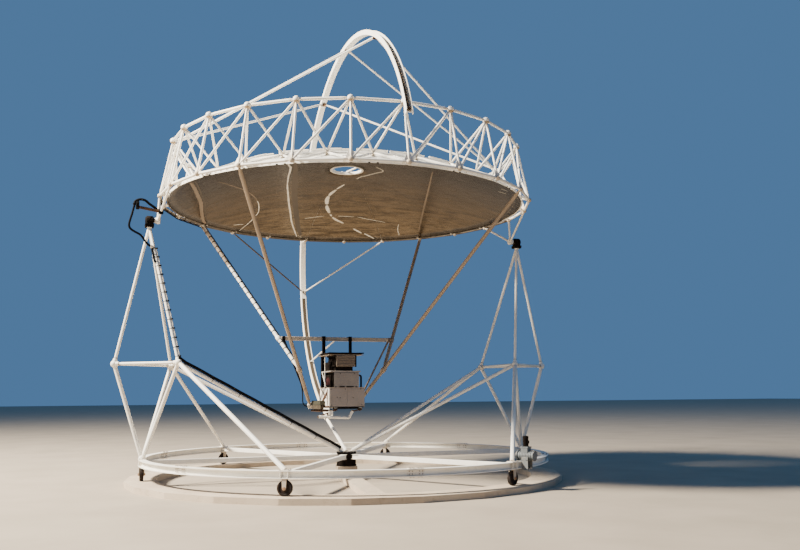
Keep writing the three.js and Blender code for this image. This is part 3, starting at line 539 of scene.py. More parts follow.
def dress(node, material, bevel=0.0):
    """Gives a CAD node that keeps its shape a new material and softened edges."""
    item = NODES[node]
    item.data.materials.clear()
    item.data.materials.append(material)
    if bevel:
        soft = item.modifiers.new("soft_edges", "BEVEL")
        soft.width = bevel
        soft.segments = 2
        soft.limit_method = "ANGLE"
        soft.angle_limit = math.radians(35)


# Base
def foundation():
    dress("concrete_foundation", CONCRETE, 0.02)
    dress("pivot_block", CONCRETE, 0.015)
    dress("centre_pin", BLACK_STEEL)


# Turntable
WEB = 0.007
PLATE_FACE = 0.017
CHEEK_AT = 0.053
CHEEK_TOP = 0.045
CHEEK_LOW = 0.036
SPOKE_HALF = 0.05
SPOKE_END = 4.512


def i_profile(centre, half, low, high, flange, web):
    corners = [(half, low), (half, low + flange), (web, low + flange)]
    corners += [(x, low + high - z) for x, z in reversed(corners)]
    return [(centre + x, z) for x, z in corners] + [(centre - x, z) for x, z in reversed(corners)]


def about_z(angle):
    return Matrix.Rotation(math.radians(angle), 4, "Z")


def bolt_rows(bolts, turn, xs, ys, zs, out, radius, height):
    """Bolts wherever some rows meet, all facing one way."""
    for x in xs:
        for y in ys:
            for z in zs:
                bolts.bolt(turn @ Vector((x, y, z)), turn @ Vector(out), radius, height)


def fork(name, angle):
    """The cheeks that hold a wheel, its axle and the plate under the ring beam."""
    # The fork's darker paint is painted shade on white.
    piece = Piece(f"wheel_fork_{name}", SHADED_WHITE_PAINT)
    turn = about_z(angle)
    top = RING_LOW + 0.001
    outline = [(-CHEEK_TOP, top), (CHEEK_TOP, top)]
    for i in range(7):
        t = math.radians(-30 * i)
        outline.append((CHEEK_LOW * math.cos(t), WHEEL_Z + CHEEK_LOW * math.sin(t)))
    for side in (-1, 1):
        cheek = RING_R + side * CHEEK_AT
        rings = [[turn @ Vector((x, y, z)) for y, z in outline] for x in (cheek - 0.007, cheek + 0.007)]
        piece.loft(rings, smooth=False)
        bolt_rows(piece, turn, [cheek + side * 0.007], [0], [WHEEL_Z], (side, 0, 0), 0.03, 0.02)
    axle = [turn @ Vector((RING_R + x, 0, WHEEL_Z)) for x in (-0.062, 0.062)]
    piece.tube(*axle, 0.022)
    piece.block((RING_R - 0.07, -0.075, RING_LOW - 0.01), (RING_R + 0.07, 0.075, top), turn)
    piece.finish("turntable")


def splice(piece, bolts, angle):
    """Cover plates and bolts where two lengths of the ring beam meet."""
    turn = about_z(angle)
    middle = (RING_LOW + RING_TOP) / 2
    for side in (-1, 1):
        face = RING_R + side * PLATE_FACE
        corner = (RING_R + side * WEB, -0.17, middle - 0.045)
        piece.block(corner, (face, 0.17, middle + 0.045), turn, wear=0.6)
        rows = (-0.13, -0.07, 0.07, 0.13), (middle - 0.025, middle + 0.025)
        bolt_rows(bolts, turn, [face], *rows, (side, 0, 0), 0.011, 0.014)
    for z, out in ((RING_TOP, 1), (RING_LOW, -1)):
        face = z + out * 0.008
        piece.block((RING_R - 0.06, -0.15, z), (RING_R + 0.06, 0.15, face), turn, wear=0.8)
        rows = (RING_R - 0.04, RING_R + 0.04), (-0.11, -0.05, 0.05, 0.11)
        bolt_rows(bolts, turn, *rows, [face], (0, 0, out), 0.011, 0.012)


def ring_section(name, angle):
    piece = Piece(f"ring_section_{name}", WHITE)
    bolts = Piece(f"ring_bolts_{name}", BARE_STEEL)
    profile = i_profile(RING_R, RING_HALF, RING_LOW, RING_TOP, FLANGE, WEB)
    piece.revolve(profile, angle - 29.99, angle + 29.99, 28)
    for offset in (-0.9, 0.9):
        for side in (-1, 1):
            inner = (RING_R + side * WEB, -0.005, RING_LOW + FLANGE)
            outer = (RING_R + side * 0.072, 0.005, RING_TOP - FLANGE)
            piece.block(inner, outer, about_z(angle + offset), wear=0.6)
    splice(piece, bolts, angle + 30)
    piece.finish("turntable", [f"ring_beam_{name}"])
    bolts.finish("turntable", slot="dark_steel")


def wheel(name, angle):
    piece = Piece(f"roller_wheel_{name}", WHEEL_STEEL)
    side = [(0.026, 0), (0.045, 0), (0.05, 0.012), (0.1, 0.016), (0.108, 0), (0.132, 0), (0.142, 0.006)]
    side = [(r, WHEEL_HALF - deep) for r, deep in [*side, (WHEEL_R, 0.018)]]
    profile = [(r, -at) for r, at in side] + side[::-1]
    piece.lathe(profile, polar(RING_R, angle, WHEEL_Z), polar(1, angle, 0), 48, smooth=False)
    piece.finish(f"roller_{name}", [f"wheel_{name}"], "wheel_steel")


def hub():
    """Six spokes with end flanges, and the rusty drum that they meet at."""
    spokes = Piece("turntable_spokes", WHITE)
    bolts = Piece("spoke_bolts", BARE_STEEL)
    half, wide = SPOKE_HALF, SPOKE_HALF + 0.02
    for angle in range(0, 360, 60):
        turn = about_z(angle)
        start = (HUB_R - 0.012, -half, SPOKE_Z - half)
        spokes.block(start, (SPOKE_END, half, SPOKE_Z + half), turn, 0.006, 0.1)
        for z in (SPOKE_Z - half, SPOKE_Z + half):
            spokes.block((HUB_R - 0.03, -wide, z - 0.005), (0.42, wide, z + 0.005), turn, wear=0.7)
        flange = (SPOKE_END + 0.0125, 0.08, SPOKE_Z + 0.055)
        spokes.block((SPOKE_END, -0.08, SPOKE_Z - 0.055), flange, turn, wear=0.8)
        rows = (-0.065, 0.065), (SPOKE_Z - 0.035, SPOKE_Z + 0.035)
        bolt_rows(bolts, turn, [SPOKE_END], *rows, (-1, 0, 0), 0.011, 0.012)
    spokes.finish("turntable", ["hub_and_spokes"])
    drum = Piece("hub_drum", BLACK_STEEL)
    low = HUB_LOW
    profile = [
        (0.062, low + 0.1), (0.128, low + 0.1), (0.128, low), (HUB_R, low), (HUB_R, low + 0.02),
        (HUB_R - 0.015, low + 0.026), (HUB_R - 0.015, HUB_TOP - 0.016), (HUB_R, HUB_TOP - 0.01),
        (HUB_R, HUB_TOP), (0.062, HUB_TOP),
    ]
    drum.lathe(profile, (0, 0, 0), UP, 48, smooth=False)
    for i in range(16):
        bolts.bolt(polar(0.222, i * 22.5 + 11.25, HUB_TOP), UP, 0.012, 0.01)
    finish_all("turntable", dark=(drum, bolts))


# Towers
MID_BALL = 0.078
UPPER_LEG_R = 0.033
HUB_LEG_R = 0.04


def tower_apex(side):
    return Vector((side * BEARING_X, 0, BEARING_LOW - 0.03))


def hub_foot_of(side):
    return Vector((side * 0.13, 0, HUB_TOP + 0.02))


def foot_plate(piece, bolts, angle, half=0.1):
    turn = about_z(angle)
    top = RING_TOP + 0.0145
    low_corner = (RING_R - RING_HALF, -half, RING_TOP + 0.0005)
    piece.block(low_corner, (RING_R + RING_HALF, half, top), turn, wear=0.8)
    rows = (RING_R - 0.055, RING_R + 0.055), (0.02 - half, half - 0.02)
    bolt_rows(bolts, turn, *rows, [top], UP, 0.012, 0.014)


def node_ball(piece, bolts, centre, radius, ends):
    """A steel node with a collar where each tube meets it."""
    piece.ball(centre, radius, 0.45)
    for end in ends:
        out = (Vector(end) - centre).normalized()
        start = centre + out * radius * 0.8
        piece.turned(start, out, [(0, 0.05), (0.03, 0.046), (0.06, 0.036)], 16)
        bolts.turned(start + out * 0.058, out, [(0, 0.04), (0.012, 0.04)], 8, smooth=False)


def leg(piece, a, b, radius, ball_a=0.0, ball_b=0.0, cone=0.1):
    """A tube between two node centres that starts and stops at their balls."""
    a, b = Vector(a), Vector(b)
    along = (b - a).normalized()
    piece.tube(a + along * ball_a, b - along * ball_b, radius, 16, cone)


def tower(side, name):
    """A tripod on a tripod, with two legs to the ring beam and two to the hub."""
    mids = tower_mids(side)
    middle_ring = list(mids.values())
    apex = tower_apex(side)
    angle = 0 if side > 0 else 180
    foot = polar(RING_R, angle, RING_TOP - 0.02)
    upper = Piece(f"{name}_upper_frame", WHITE)
    lower = Piece(f"{name}_lower_frame", WHITE)
    bolts = Piece(f"{name}_tower_fittings", BARE_STEEL)
    for mid, following in zip(middle_ring, middle_ring[1:] + middle_ring[:1]):
        leg(upper, mid, apex, UPPER_LEG_R, MID_BALL * 0.95, 0.04, 0.0)
        leg(upper, mid, following, 0.03, MID_BALL * 0.95, MID_BALL * 0.95, 0.09)
        leg(lower, mid, foot + (mid - foot).normalized() * 0.06, 0.042, MID_BALL, 0.0, 0.0)
        others = [other for other in middle_ring if other != mid]
        node_ball(upper, bolts, mid, MID_BALL, [apex, foot, *others])
    upper.turned(apex - Vector((0, 0, 0.04)), UP, [(0, 0.045), (0.03, 0.06), (0.05, 0.06)], 16)
    if side < 0:
        upper.ball(Vector(CABLE_ROUTE[-1]), 0.04, 1.0, 2)
    upper.finish("turntable", [f"{name}_upper_tripod"])
    lower.turned(foot + Vector((0, 0, 0.03)), UP, [(0, 0.075), (0.05, 0.07), (0.085, 0.045)], 20)
    foot_plate(lower, bolts, angle, 0.11)
    lower.finish("turntable", [f"{name}_foot_tripod"])

    braces = Piece(f"{name}_hub_legs", WHITE)
    hub_foot = hub_foot_of(side)
    for key, kind, radius, away in (("front", "post", 0.046, -60), ("back", "brace", HUB_LEG_R, 60)):
        post = Piece(f"{name}_{key}_leg", WHITE)
        post_angle = angle + side * away
        leg(post, mids[key], polar(RING_R, post_angle, RING_TOP + 0.005), radius, MID_BALL, 0.0, 0.0)
        foot_plate(post, bolts, post_angle)
        post.finish("turntable", [f"{name}_{key}_{kind}"])
        leg(braces, mids[key], hub_foot, HUB_LEG_R, MID_BALL, 0.0, 0.0)
    braces.block(hub_foot - Vector((0.085, 0.09, 0.01)), hub_foot + Vector((0.085, 0.09, 0.004)), wear=0.8)
    braces.finish("turntable", [f"{name}_hub_braces"])
    bolts.finish("turntable", slot="dark_steel")


def bearing(side, name):
    """A split pillow block: foot, two halves, grease cap and bolts."""
    piece = Piece(f"{name}_bearing_block", BLACK_STEEL)
    x = side * BEARING_X
    low, split = BEARING_LOW, BEARING_LOW + 0.03
    for half, half_y, z0, z1, chamfer in (
            (BEARING_HALF, BEARING_HALF, low, split, 0.004),
            (0.095, 0.095, low - 0.04, low - 0.0005, 0.006),
            (0.075, 0.09, split, AXIS_Z + 0.01, 0.012)):
        piece.block((x - half, -half_y, z0), (x + half, half_y, z1), chamfer=chamfer)
    half_stops = [(-0.095, 0.06), (-0.09, 0.075), (-0.07, 0.08), (-0.065, 0.098)]
    stops = half_stops + [(-at, radius) for at, radius in reversed(half_stops)]
    piece.turned((x, 0, AXIS_Z), (1, 0, 0), stops, 32)
    stud = [(0, 0.018), (0.06, 0.018), (0.065, 0.012)]
    for y in (-0.085, 0.085):
        for across in (x - 0.05, x + 0.05):
            piece.turned((across, y, AXIS_Z - 0.03), UP, stud, 6, False)
            piece.bolt((across, y, split), UP, 0.014, 0.02)
    piece.finish("turntable", [f"{name}_bearing"], "dark_steel")


# Cables tied along a leg
TIE_R = 0.02
CABLE_SLACK = 0.006


def tied_cable(name, a, b, leg_radius, body, offset, spacing, radius, skin=RUBBER, tail=0.0, lead=None,
               band=0.006):
    """A cable along one side of a leg, with a tie round both at every spacing."""
    a, b = Vector(a), Vector(b)
    axis = (b - a).normalized()
    side = Vector(offset)
    side = (side - axis * side.dot(axis)).normalized()
    cable = Piece(name, skin)
    ties = Piece(f"{name}_ties", RUBBER)
    count = max(2, round((b - a).length / spacing))
    path = [Vector(lead)] if lead else []
    for i in range(count * 2 + 1):
        slack = CABLE_SLACK if i % 2 else 0.0
        path.append(a.lerp(b, i / (count * 2)) + side * (leg_radius + radius + slack))
    cable.hose(path, radius, 8)
    for i in range(count + 1):
        centre = a.lerp(b, i / count)
        ring = circle(centre, axis, leg_radius + 0.002, 16)
        ties.hose(ring + ring[:1], band, 4)
        start = centre + side * (leg_radius - 0.02)
        ties.tube(start, start + side * (2 * radius + tail), TIE_R, 6)
    finish_all(body, dark=(cable, ties))


# Drives
MOTOR_SEAT = 0.87


def fins(first, pitch, count, low, high, width):
    """The stops of a turned shape along a row of fins."""
    stops = []
    for i in range(count):
        at = first + i * pitch
        stops += [(at, low), (at + 0.002, high), (at + width - 0.002, high), (at + width, low)]
    return stops


def azimuth_drive():
    turn = about_z(GEARBOX_ANGLE)
    piece = Piece("azimuth_gearbox_case", GEARBOX_PAINT)
    centre = turn @ Vector((4.55, 0, GEARBOX_Z))
    axis = turn @ Vector((1, 0, 0))
    stops = [(0, 0.1), (0.003, 0.105), (0.021, 0.105), (0.024, 0.1), (0.025, 0.08), (0.05, 0.085)]
    stops += fins(0.06, 0.035, 8, 0.085, 0.094, 0.014)
    stops += [(0.355, 0.08), (0.356, 0.1), (0.359, 0.105), (0.377, 0.105), (0.38, 0.1)]
    piece.turned(centre, axis, stops, 32, smooth=False)
    low = RING_LOW - 0.0143
    beam_side = RING_R + 0.0755
    for corner, far_corner, chamfer, wear in (
            ((4.65, -0.075, GEARBOX_Z), (4.81, 0.075, MOTOR_SEAT), 0.012, 0.0),
            ((4.64, -0.085, 0.845), (4.82, 0.085, MOTOR_SEAT), 0.004, 0.0),
            ((RING_R - 0.06, -0.1, low), (4.82, 0.1, low + 0.014), 0.004, 1.0),
            ((beam_side, -0.1, low), (4.82, -0.086, GEARBOX_Z - 0.02), 0.004, 0.6),
            ((beam_side, 0.086, low), (4.82, 0.1, GEARBOX_Z - 0.02), 0.004, 0.6),
            ((beam_side, -0.1, GEARBOX_Z - 0.1), (4.82, 0.1, GEARBOX_Z - 0.08), 0.004, 0.0)):
        piece.block(corner, far_corner, turn, chamfer, wear)
    piece.finish("turntable", ["azimuth_gearbox"], "gearbox_paint")
    motor = Piece("azimuth_motor_case", BLACK_STEEL)
    stops = [(0, 0.065), (0.012, 0.065), (0.014, 0.055), (0.03, 0.055)]
    stops += fins(0.035, 0.018, 7, 0.054, 0.063, 0.01)
    stops += [(0.168, 0.06), (0.2, 0.06), (0.212, 0.04)]
    motor.turned(turn @ Vector((4.73, 0, MOTOR_SEAT + 0.0005)), UP, stops, 28, smooth=False)
    motor.block((4.785, -0.03, 0.93), (4.8, 0.03, 0.99), turn)
    motor.finish("turntable", ["azimuth_motor"], "dark_steel")
    bolts = Piece("gearbox_bolts", BARE_STEEL)
    for at, out in ((0.0, -1), (0.38, 1)):
        for spot in circle(centre + axis * at, axis, 0.09, 8):
            bolts.bolt(spot, axis * out, 0.009, 0.008)
    bolts.finish("turntable", slot="dark_steel")


def elevation_drive():
    """The arm that carries the drive unit: cheek plates, sprockets, cover and motor."""
    piece = Piece("arc_drive_arm", WHITE)
    lean = Matrix.Rotation(math.radians(180 - DRIVE_ANGLE), 4, "X")
    place = Matrix.Translation(on_arc(ARC_OUT + 0.008, DRIVE_ANGLE)) @ lean
    half = DRIVE_UNIT * 0.8
    depth = DRIVE_UNIT
    out = Vector((1, 0, 0))
    piece.tube((0, 0.01, HUB_TOP + 0.012), place @ Vector((0, 0, -depth + 0.01)), 0.04, 16)
    piece.block((-0.04, -0.042, HUB_TOP + 0.0005), (0.04, 0.168, HUB_TOP + 0.014), wear=1.0)
    for side in (-1, 1):
        piece.block((side * half, -half, -depth), (side * (half - 0.01), half, 0), place, 0.003, 0.5)
    piece.block((-half, -half, -depth), (half, half, -depth + 0.012), place, 0.003, 0.3)
    piece.finish("turntable", ["arc_drive"])
    gears = Piece("arc_drive_sprockets", BLACK_STEEL)
    stops = [(0.0, 0.016), (0.03, 0.016), (0.032, 0.034), (0.104, 0.034), (0.106, 0.016), (2 * half, 0.016)]
    for y in (-0.036, 0.036):
        gears.turned(place @ Vector((-half, y, -0.036)), out, stops, 20)
    stops = [(0, 0.038), (0.006, 0.04), (0.012, 0.03), (0.06, 0.03), (0.066, 0.026)]
    gears.turned(place @ Vector((half, 0, -0.045)), out, stops, 24)
    gears.finish("turntable", slot="dark_steel")


# Mirror
GLASS = 0.004
PANEL_GAP = 0.04
STIFFENER_R = 3.2
STIFFENER_LENGTHS = [
    (0.3, 6.0, 0.104), (6.1, 12.0, 0.113), (12.1, 15.0, 0.101), (17.5, 24.0, 0.11), (24.1, 29.6, 0.105),
]
HOLE_BARS = [((-0.36, 0.09), (-0.17, -0.34)), ((0.1, 0.37), (0.26, -0.27))]
RIM_CLIPS = 160

# Painted reflections, laid on the glass as strips: the width of each and the points that it runs through
BRIGHT_REFLECTION_STRIPS = [
    (0.05, [(0.26, 1.13), (0.19, 1.33), (0.145, 1.48)]),
    (0.085, [(0.14, 1.52), (0.08, 1.75), (0.055, 1.92)]),
    (0.11, [(0.05, 1.95), (0.07, 2.2), (0.13, 2.42)]),
    (0.095, [(0.14, 2.48), (0.21, 2.66), (0.32, 2.87)]),
    (0.05, [(0.36, 2.93), (0.42, 3.02)]),
    (0.07, [(0.46, 3.06), (0.60, 3.17), (0.84, 3.28)]),
    (0.05, [(-1.68, -0.98), (-1.56, -0.5), (-1.47, -0.28), (-1.39, 0.14), (-1.33, 0.6), (-1.23, 1.19)]),
    (0.045, [(-1.24, 1.15), (-1.16, 1.5), (-0.93, 2.40), (-0.78, 2.9), (-0.61, 3.46), (-0.33, 4.10)]),
    (0.03, [(0.56, -0.61), (0.83, -0.34), (0.74, -0.05), (0.60, 0.26), (0.5, 0.42), (0.44, 0.64)]),
    (0.026, [(-1.84, 2.1), (-1.75, 2.35), (-1.68, 2.77), (-1.74, 3.02), (-1.83, 3.27), (-2.05, 3.62)]),
    (0.02, [(-2.27, 3.28), (-1.99, 3.33)]),
    (0.06, [(1.19, 3.46), (1.47, 3.58)]),
    (0.05, [(1.55, 3.57), (1.88, 3.68)]),
    (0.016, [(-0.3, 3.23), (-0.05, 3.14), (0.21, 3.05)]),
    (0.018, [(0.6, 2.97), (1.04, 2.88)]),
    (0.018, [(1.12, 2.85), (1.47, 2.85), (1.93, 2.79)]),
    (0.02, [(2.3, 2.68), (2.36, 2.93), (2.5, 3.2)]),
    (0.035, [(3.15, -1.96), (3.29, -2.09)]),
    (0.03, [(3.0, -2.41), (3.13, -2.5)]),
]
DULL_REFLECTION_STRIPS = [
    (0.085, [
        (-3.84, -1.0), (-3.71, -0.29), (-3.51, 0.72), (-3.34, 1.49), (-3.25, 2.1), (-3.14, 2.66),
        (-3.05, 2.86),
    ]),
    (0.026, [(-3.1, 0.07), (-2.69, 0.74), (-2.26, 1.33), (-1.95, 1.85), (-1.82, 2.15)]),
    (0.04, [(1.71, -1.41), (2.11, -0.2), (2.43, 0.87), (2.67, 1.77), (2.91, 2.69)]),
]
SHADE_STRIPS = [
    (0.15, [
        (-1.5, -0.9), (-1.26, 0.14), (-1.03, 1.24), (-0.81, 2.2), (-0.58, 3.03), (-0.39, 3.65), (-0.22, 4.05),
    ]),
    (0.02, [(0.05, 0.44), (0.2, 0.85), (0.3, 1.15)]),
    (0.03, [(-3.76, -1.05), (-3.62, -0.3), (-3.43, 0.7), (-3.26, 1.5), (-3.17, 2.1), (-3.06, 2.6)]),
]


def mirror():
    """Twelve panels, in quarters: the glass, and behind it the shell with its rim and stiffeners."""
    rim = mirror_z(MIRROR_R)
    top = rim + RIM_HEIGHT
    radii = [MIRROR_HOLE + (MIRROR_R - 0.02 - MIRROR_HOLE) * i / 20 for i in range(21)]
    front, middle, outer = ([(r, mirror_z(r) + up) for r in radii] for up in (0, GLASS, SHELL))
    inner_r, lip_r = MIRROR_R - RIM_WIDTH, MIRROR_R - 0.012
    glass = front + middle[::-1]
    shell = [*middle, (MIRROR_R, rim + 0.002), (MIRROR_R, top), (inner_r, top), (inner_r, top - 0.008),
             (lip_r, top - 0.008), (lip_r, rim + SHELL), *outer[::-1]]
    for quarter in range(1, 5):
        face = Piece(f"mirror_face_{quarter}", MIRROR)
        back = Piece(f"mirror_back_{quarter}", SHELL_PAINT)
        for third in range(3):
            start = quarter * 90 - 90 + third * 30 + PANEL_GAP
            end = start + 30 - 2 * PANEL_GAP
            face.revolve(glass, start, end, 20, smooth=True)
            back.revolve(shell, start, end, 20)
            rib(back, start + 0.4)
            rib(back, end - 0.4)
            stiffener(back, start)
        face.finish("dish", [f"mirror_quarter_{quarter}"], "mirror_face")
        back.finish("dish")


def rib(piece, angle):
    """A radial stiffener on the back of the shell."""
    turn = about_z(angle)
    radii = [MIRROR_HOLE + 0.02 + (MIRROR_R - 0.12 - MIRROR_HOLE) * i / 10 for i in range(11)]
    low, high = ([(r, mirror_z(r) + SHELL + up) for r in radii] for up in (-0.001, 0.05))
    outline = low + high[::-1]
    piece.loft([[turn @ Vector((r, y, z)) for r, z in outline] for y in (-0.004, 0.004)], smooth=False)


def stiffener(piece, start):
    """The ring that stands on the back of a panel, in uneven lengths with a slot."""
    low = mirror_z(STIFFENER_R) + SHELL - 0.002
    for begin, end, height in STIFFENER_LENGTHS:
        high = low + height
        for half, bottom, top in ((0.004, low, high), (0.03, high, high + 0.008)):
            inner, outer = STIFFENER_R - half, STIFFENER_R + half
            profile = [(inner, bottom), (outer, bottom), (outer, top), (inner, top)]
            piece.revolve(profile, start + begin, start + end, 6)


def mirror_trim():
    """The edge strip and clips round the rim, the lip of the hole and the two bars across it."""
    piece = Piece("mirror_trim", WHITE)
    edge = Piece("mirror_edge_strip", CREAM)
    dull = Piece("mirror_edge_shaded", SHADED_CHORD_PAINT)
    dark = Piece("mirror_edge_bolts", BLACK_STEEL)
    z = mirror_z(MIRROR_HOLE)
    inner, middle, outer = (MIRROR_HOLE + wide for wide in (-0.045, -0.008, 0.012))
    profile = [(inner, z - 0.008), (outer, z - 0.012), (outer, z - 0.002), (middle, z), (middle, z + 0.05),
               (inner, z + 0.05)]
    piece.lathe(profile, (0, 0, 0), UP, 48, smooth=False)
    for a, b in HOLE_BARS:
        piece.tube((*a, z + 0.06), (*b, z + 0.06), 0.02, wear=0.05)
    rim = mirror_z(MIRROR_R)
    inner, face, outer = (MIRROR_R + wide for wide in (-0.026, 0.001, 0.005))
    strip = [(inner, mirror_z(inner) - 0.004), (outer, rim - 0.006), (outer, rim + 0.016),
             (face, rim + 0.016), (face, rim - 0.002), (inner, mirror_z(inner) - 0.001)]
    # The edge strip over the far half is darkened as painted shade.
    for i in range(BAYS):
        (dull if i < BAYS / 2 else edge).revolve(strip, i * 15 + 0.5, i * 15 + 14.7, 12)
    out = MIRROR_R + 0.01
    for i in range(RIM_CLIPS):
        turn = about_z((i + 0.5) * 360 / RIM_CLIPS)
        if (i * i) % 11 == 3:
            dark.block((MIRROR_R - 0.01, -0.02, rim - 0.007), (out + 0.002, 0.02, rim + 0.014), turn, 0.003)
        else:
            edge.block((face, -0.025, rim + 0.018), (out, 0.025, rim + 0.04), turn, 0.003, 0.3)
            dark.bolt(turn @ Vector((out, 0, rim + 0.029)), turn @ Vector((1, 0, 0)), 0.007, 0.006)
    finish_all("dish", (piece, edge, dull), [dark])


def ribbon(piece, points, width):
    """A thin strip that lies on the mirror's face and narrows towards its ends."""
    path = smooth_path([(x, y, 0) for x, y in points], 8)
    rings = []
    for i, point in enumerate(path):
        along = (path[min(i + 1, len(path) - 1)] - path[max(i - 1, 0)]).normalized()
        t = i / (len(path) - 1)
        half = width / 2 * (0.4 + 0.6 * math.sin(math.pi * t) ** 0.5 + 0.12 * math.sin(i * 1.9))
        across = Vector((-along.y, along.x, 0)) * half
        edges = [point + across, point - across]
        low = [Vector((p.x, p.y, mirror_z(p.length) - 0.003)) for p in edges]
        high = [Vector((p.x, p.y, mirror_z(p.length) - 0.0015)) for p in reversed(edges)]
        rings.append(low + high)
    piece.loft(rings, smooth=False)


def painted_mirror_reflections():
    """Painted reflections on the glass: bright and dull strips, and dark strips of painted shade."""
    for name, material, strips in (
            ("bright", CREAM, BRIGHT_REFLECTION_STRIPS),
            ("dull", DULL_STRIP, DULL_REFLECTION_STRIPS),
            ("shade", SHADE_STRIP, SHADE_STRIPS)):
        piece = Piece(f"mirror_{name}_strips", material)
        for width, points in strips:
            ribbon(piece, points, width)
        piece.finish("dish", slot="mirror_face")


# Truss
BALL_REACH = 0.9
TOP_BALL = 0.072
LOW_BALL = 0.055
BACK_BALL = 0.045
CHORD_R = 0.031
WEB_R = 0.025


def truss_nodes(k):
    """The top, low and back node of a bay, each with the radius of its ball."""
    return (truss_top(k), TOP_BALL), (truss_low(k), LOW_BALL), (truss_back(k), BACK_BALL)


def truss_quarter(index):
    """Six bays of the ring truss: tubes, capped top nodes, low nodes and feet on the mirror's back."""
    piece = Piece(f"truss_tubes_{index + 1}", WHITE)
    caps = Piece(f"truss_caps_{index + 1}", TAN)
    nodes = Piece(f"truss_nodes_{index + 1}", NODE_STEEL)
    # The low chord over the far half is darkened as painted shade.
    chord = Piece(f"truss_chord_{index + 1}", SHADED_CHORD_PAINT if index < 2 else WHITE)
    down = (0, 0, -1)
    for k in range(index * 6, index * 6 + 6):
        top, low, back = truss_nodes(k)
        next_top, next_low, next_back = truss_nodes(k + 1)
        piece.ball(*top, 0.3)
        caps.turned(top[0], down, [(0.035, 0.068), (0.055, 0.056), (0.068, 0.03), (0.082, 0.02)], 16)
        nodes.ball(*low, 0.6)
        nodes.ball(*back, 0.6, 2)
        nodes.turned(back[0], down, [(0.03, 0.03), (0.058, 0.035), (0.06, 0.06), (0.067, 0.06)], 12, False)
        gusset(piece, k)
        tubes = [(piece, top, next_top, CHORD_R, 0.07), (chord, low, next_low, CHORD_R, 0.07)]
        webs = [(back, next_back), (low, top), (low, next_top), (back, top), (back, next_top)]
        for a, b in [*webs, (back, low), (back, next_low)]:
            tubes.append((piece, a, b, WEB_R, 0.06))
        for where, (a, ball_a), (b, ball_b), radius, cone in tubes:
            leg(where, a, b, radius, ball_a * BALL_REACH, ball_b * BALL_REACH, cone)
    for quarter, start, angle, ball in (
            (1, truss_top(6), 66, TOP_BALL),
            (1, truss_low(6), 83, LOW_BALL),
            (3, truss_top(18), -66, TOP_BALL)):
        if quarter == index:
            leg(piece, start, on_arc(ARC_IN, angle), 0.024, ball, 0.0, 0.0)
    piece.finish("dish", [f"truss_quarter_{index + 1}"])
    finish_all("dish", (caps, chord), [nodes])


def gusset(piece, k):
    """The plate that the web tubes are welded to above a low node."""
    turn = about_z(k * 360 / BAYS)
    lean = (TOP_R - LOW_R) / (TOP_Z - LOW_Z)
    corners = [(-0.11, 0.02), (0.11, 0.02), (0.05, 0.17), (-0.05, 0.17)]
    rings = []
    for x in (-0.004, 0.004):
        rings.append([turn @ Vector((LOW_R + lean * up + x, y, LOW_Z + up)) for y, up in corners])
    piece.loft(rings, [0.7, 0.7], smooth=False)


# Drive arc
STAY_ANGLE = 101.5
CHAIN_PITCH = 0.75
BRACE_FOOT = (4.0, 7.8)
UPRIGHT = Matrix.Rotation(math.pi / 2, 4, "Z") @ Matrix.Rotation(math.pi / 2, 4, "X")
ARC_FRAME = Matrix.Translation((0, 0, AXIS_Z)) @ UPRIGHT


def along_arc(angle):
    """The frame of the arc turned to an angle: x runs outwards, y along it and z across it."""
    return ARC_FRAME @ about_z(90 - angle)


def arc_length(index):
    """One of three lengths of the channel, with its end plates."""
    span = (ARC_END - ARC_START) / 3
    start = ARC_START + index * span
    w, wall = ARC_HALF, 0.012
    floor = ARC_IN + wall
    profile = [(ARC_IN, -w), (ARC_LIP, -w), (ARC_LIP, -w + wall), (floor, -w + wall)]
    profile += [(r, -z) for r, z in reversed(profile)]
    piece = Piece(f"arc_channel_{index + 1}", WHITE)
    piece.revolve(profile, 90 - start - span + 0.002, 90 - start - 0.002, 40, ARC_FRAME)
    for angle in (start + 0.3, start + span - 0.3):
        for side in (-1, 1):
            far_corner = (ARC_LIP - 0.02, 0.09, side * (w + 0.008))
            piece.block((ARC_IN + 0.02, -0.09, side * w), far_corner, along_arc(angle), wear=0.6)
    piece.finish("dish", [f"drive_arc_{index + 1}"])


def arc_chain():
    """The channel's liner, the drive chain on it, the blocks at its ends and a stripe of painted shade
    inside.
    """
    liner = Piece("arc_liner", TAN)
    chain = Piece("arc_chain", CHAIN_STEEL)
    anchors = Piece("arc_chain_anchors", RUSTY_STEEL)
    painted_shade_stripe = Piece("arc_inner_painted_shade", SHADE_STRIP)
    floor = ARC_IN + 0.0122
    profile = [(floor, -0.05), (floor + 0.005, -0.05), (floor + 0.005, 0.05), (floor, 0.05)]
    liner.revolve(profile, 90 - ARC_END + 0.3, 90 - ARC_START - 0.3, 120, ARC_FRAME)
    inner, outer = ARC_IN + 0.02, ARC_IN + 0.044
    for i in range(int((ARC_END - ARC_START - 3) / CHAIN_PITCH)):
        place = along_arc(ARC_START + 1.5 + i * CHAIN_PITCH)
        wide = 0.014 if i % 2 else 0.01
        for z in (-wide, wide):
            chain.block((inner, -0.036, z - 0.0025), (outer, 0.036, z + 0.0025), place, 0.001)
        chain.block((inner + 0.005, -0.008, -0.017), (outer - 0.005, 0.008, 0.017), place, 0.001)
    for angle in (ARC_START + 0.9, ARC_END - 0.9):
        anchors.block((ARC_IN + 0.018, -0.02, -0.05), (ARC_IN + 0.07, 0.02, 0.05), along_arc(angle), 0.006)
    # A dark stripe on the channel's inner face: painted shade on the web.
    low, high = ARC_IN - 0.003, ARC_IN - 0.0002
    profile = [(low, -0.05), (high, -0.05), (high, 0.04), (low, 0.04)]
    painted_shade_stripe.revolve(profile, 94 - ARC_END, -14, 60, ARC_FRAME)
    finish_all("dish", (painted_shade_stripe, liner), (chain, anchors))


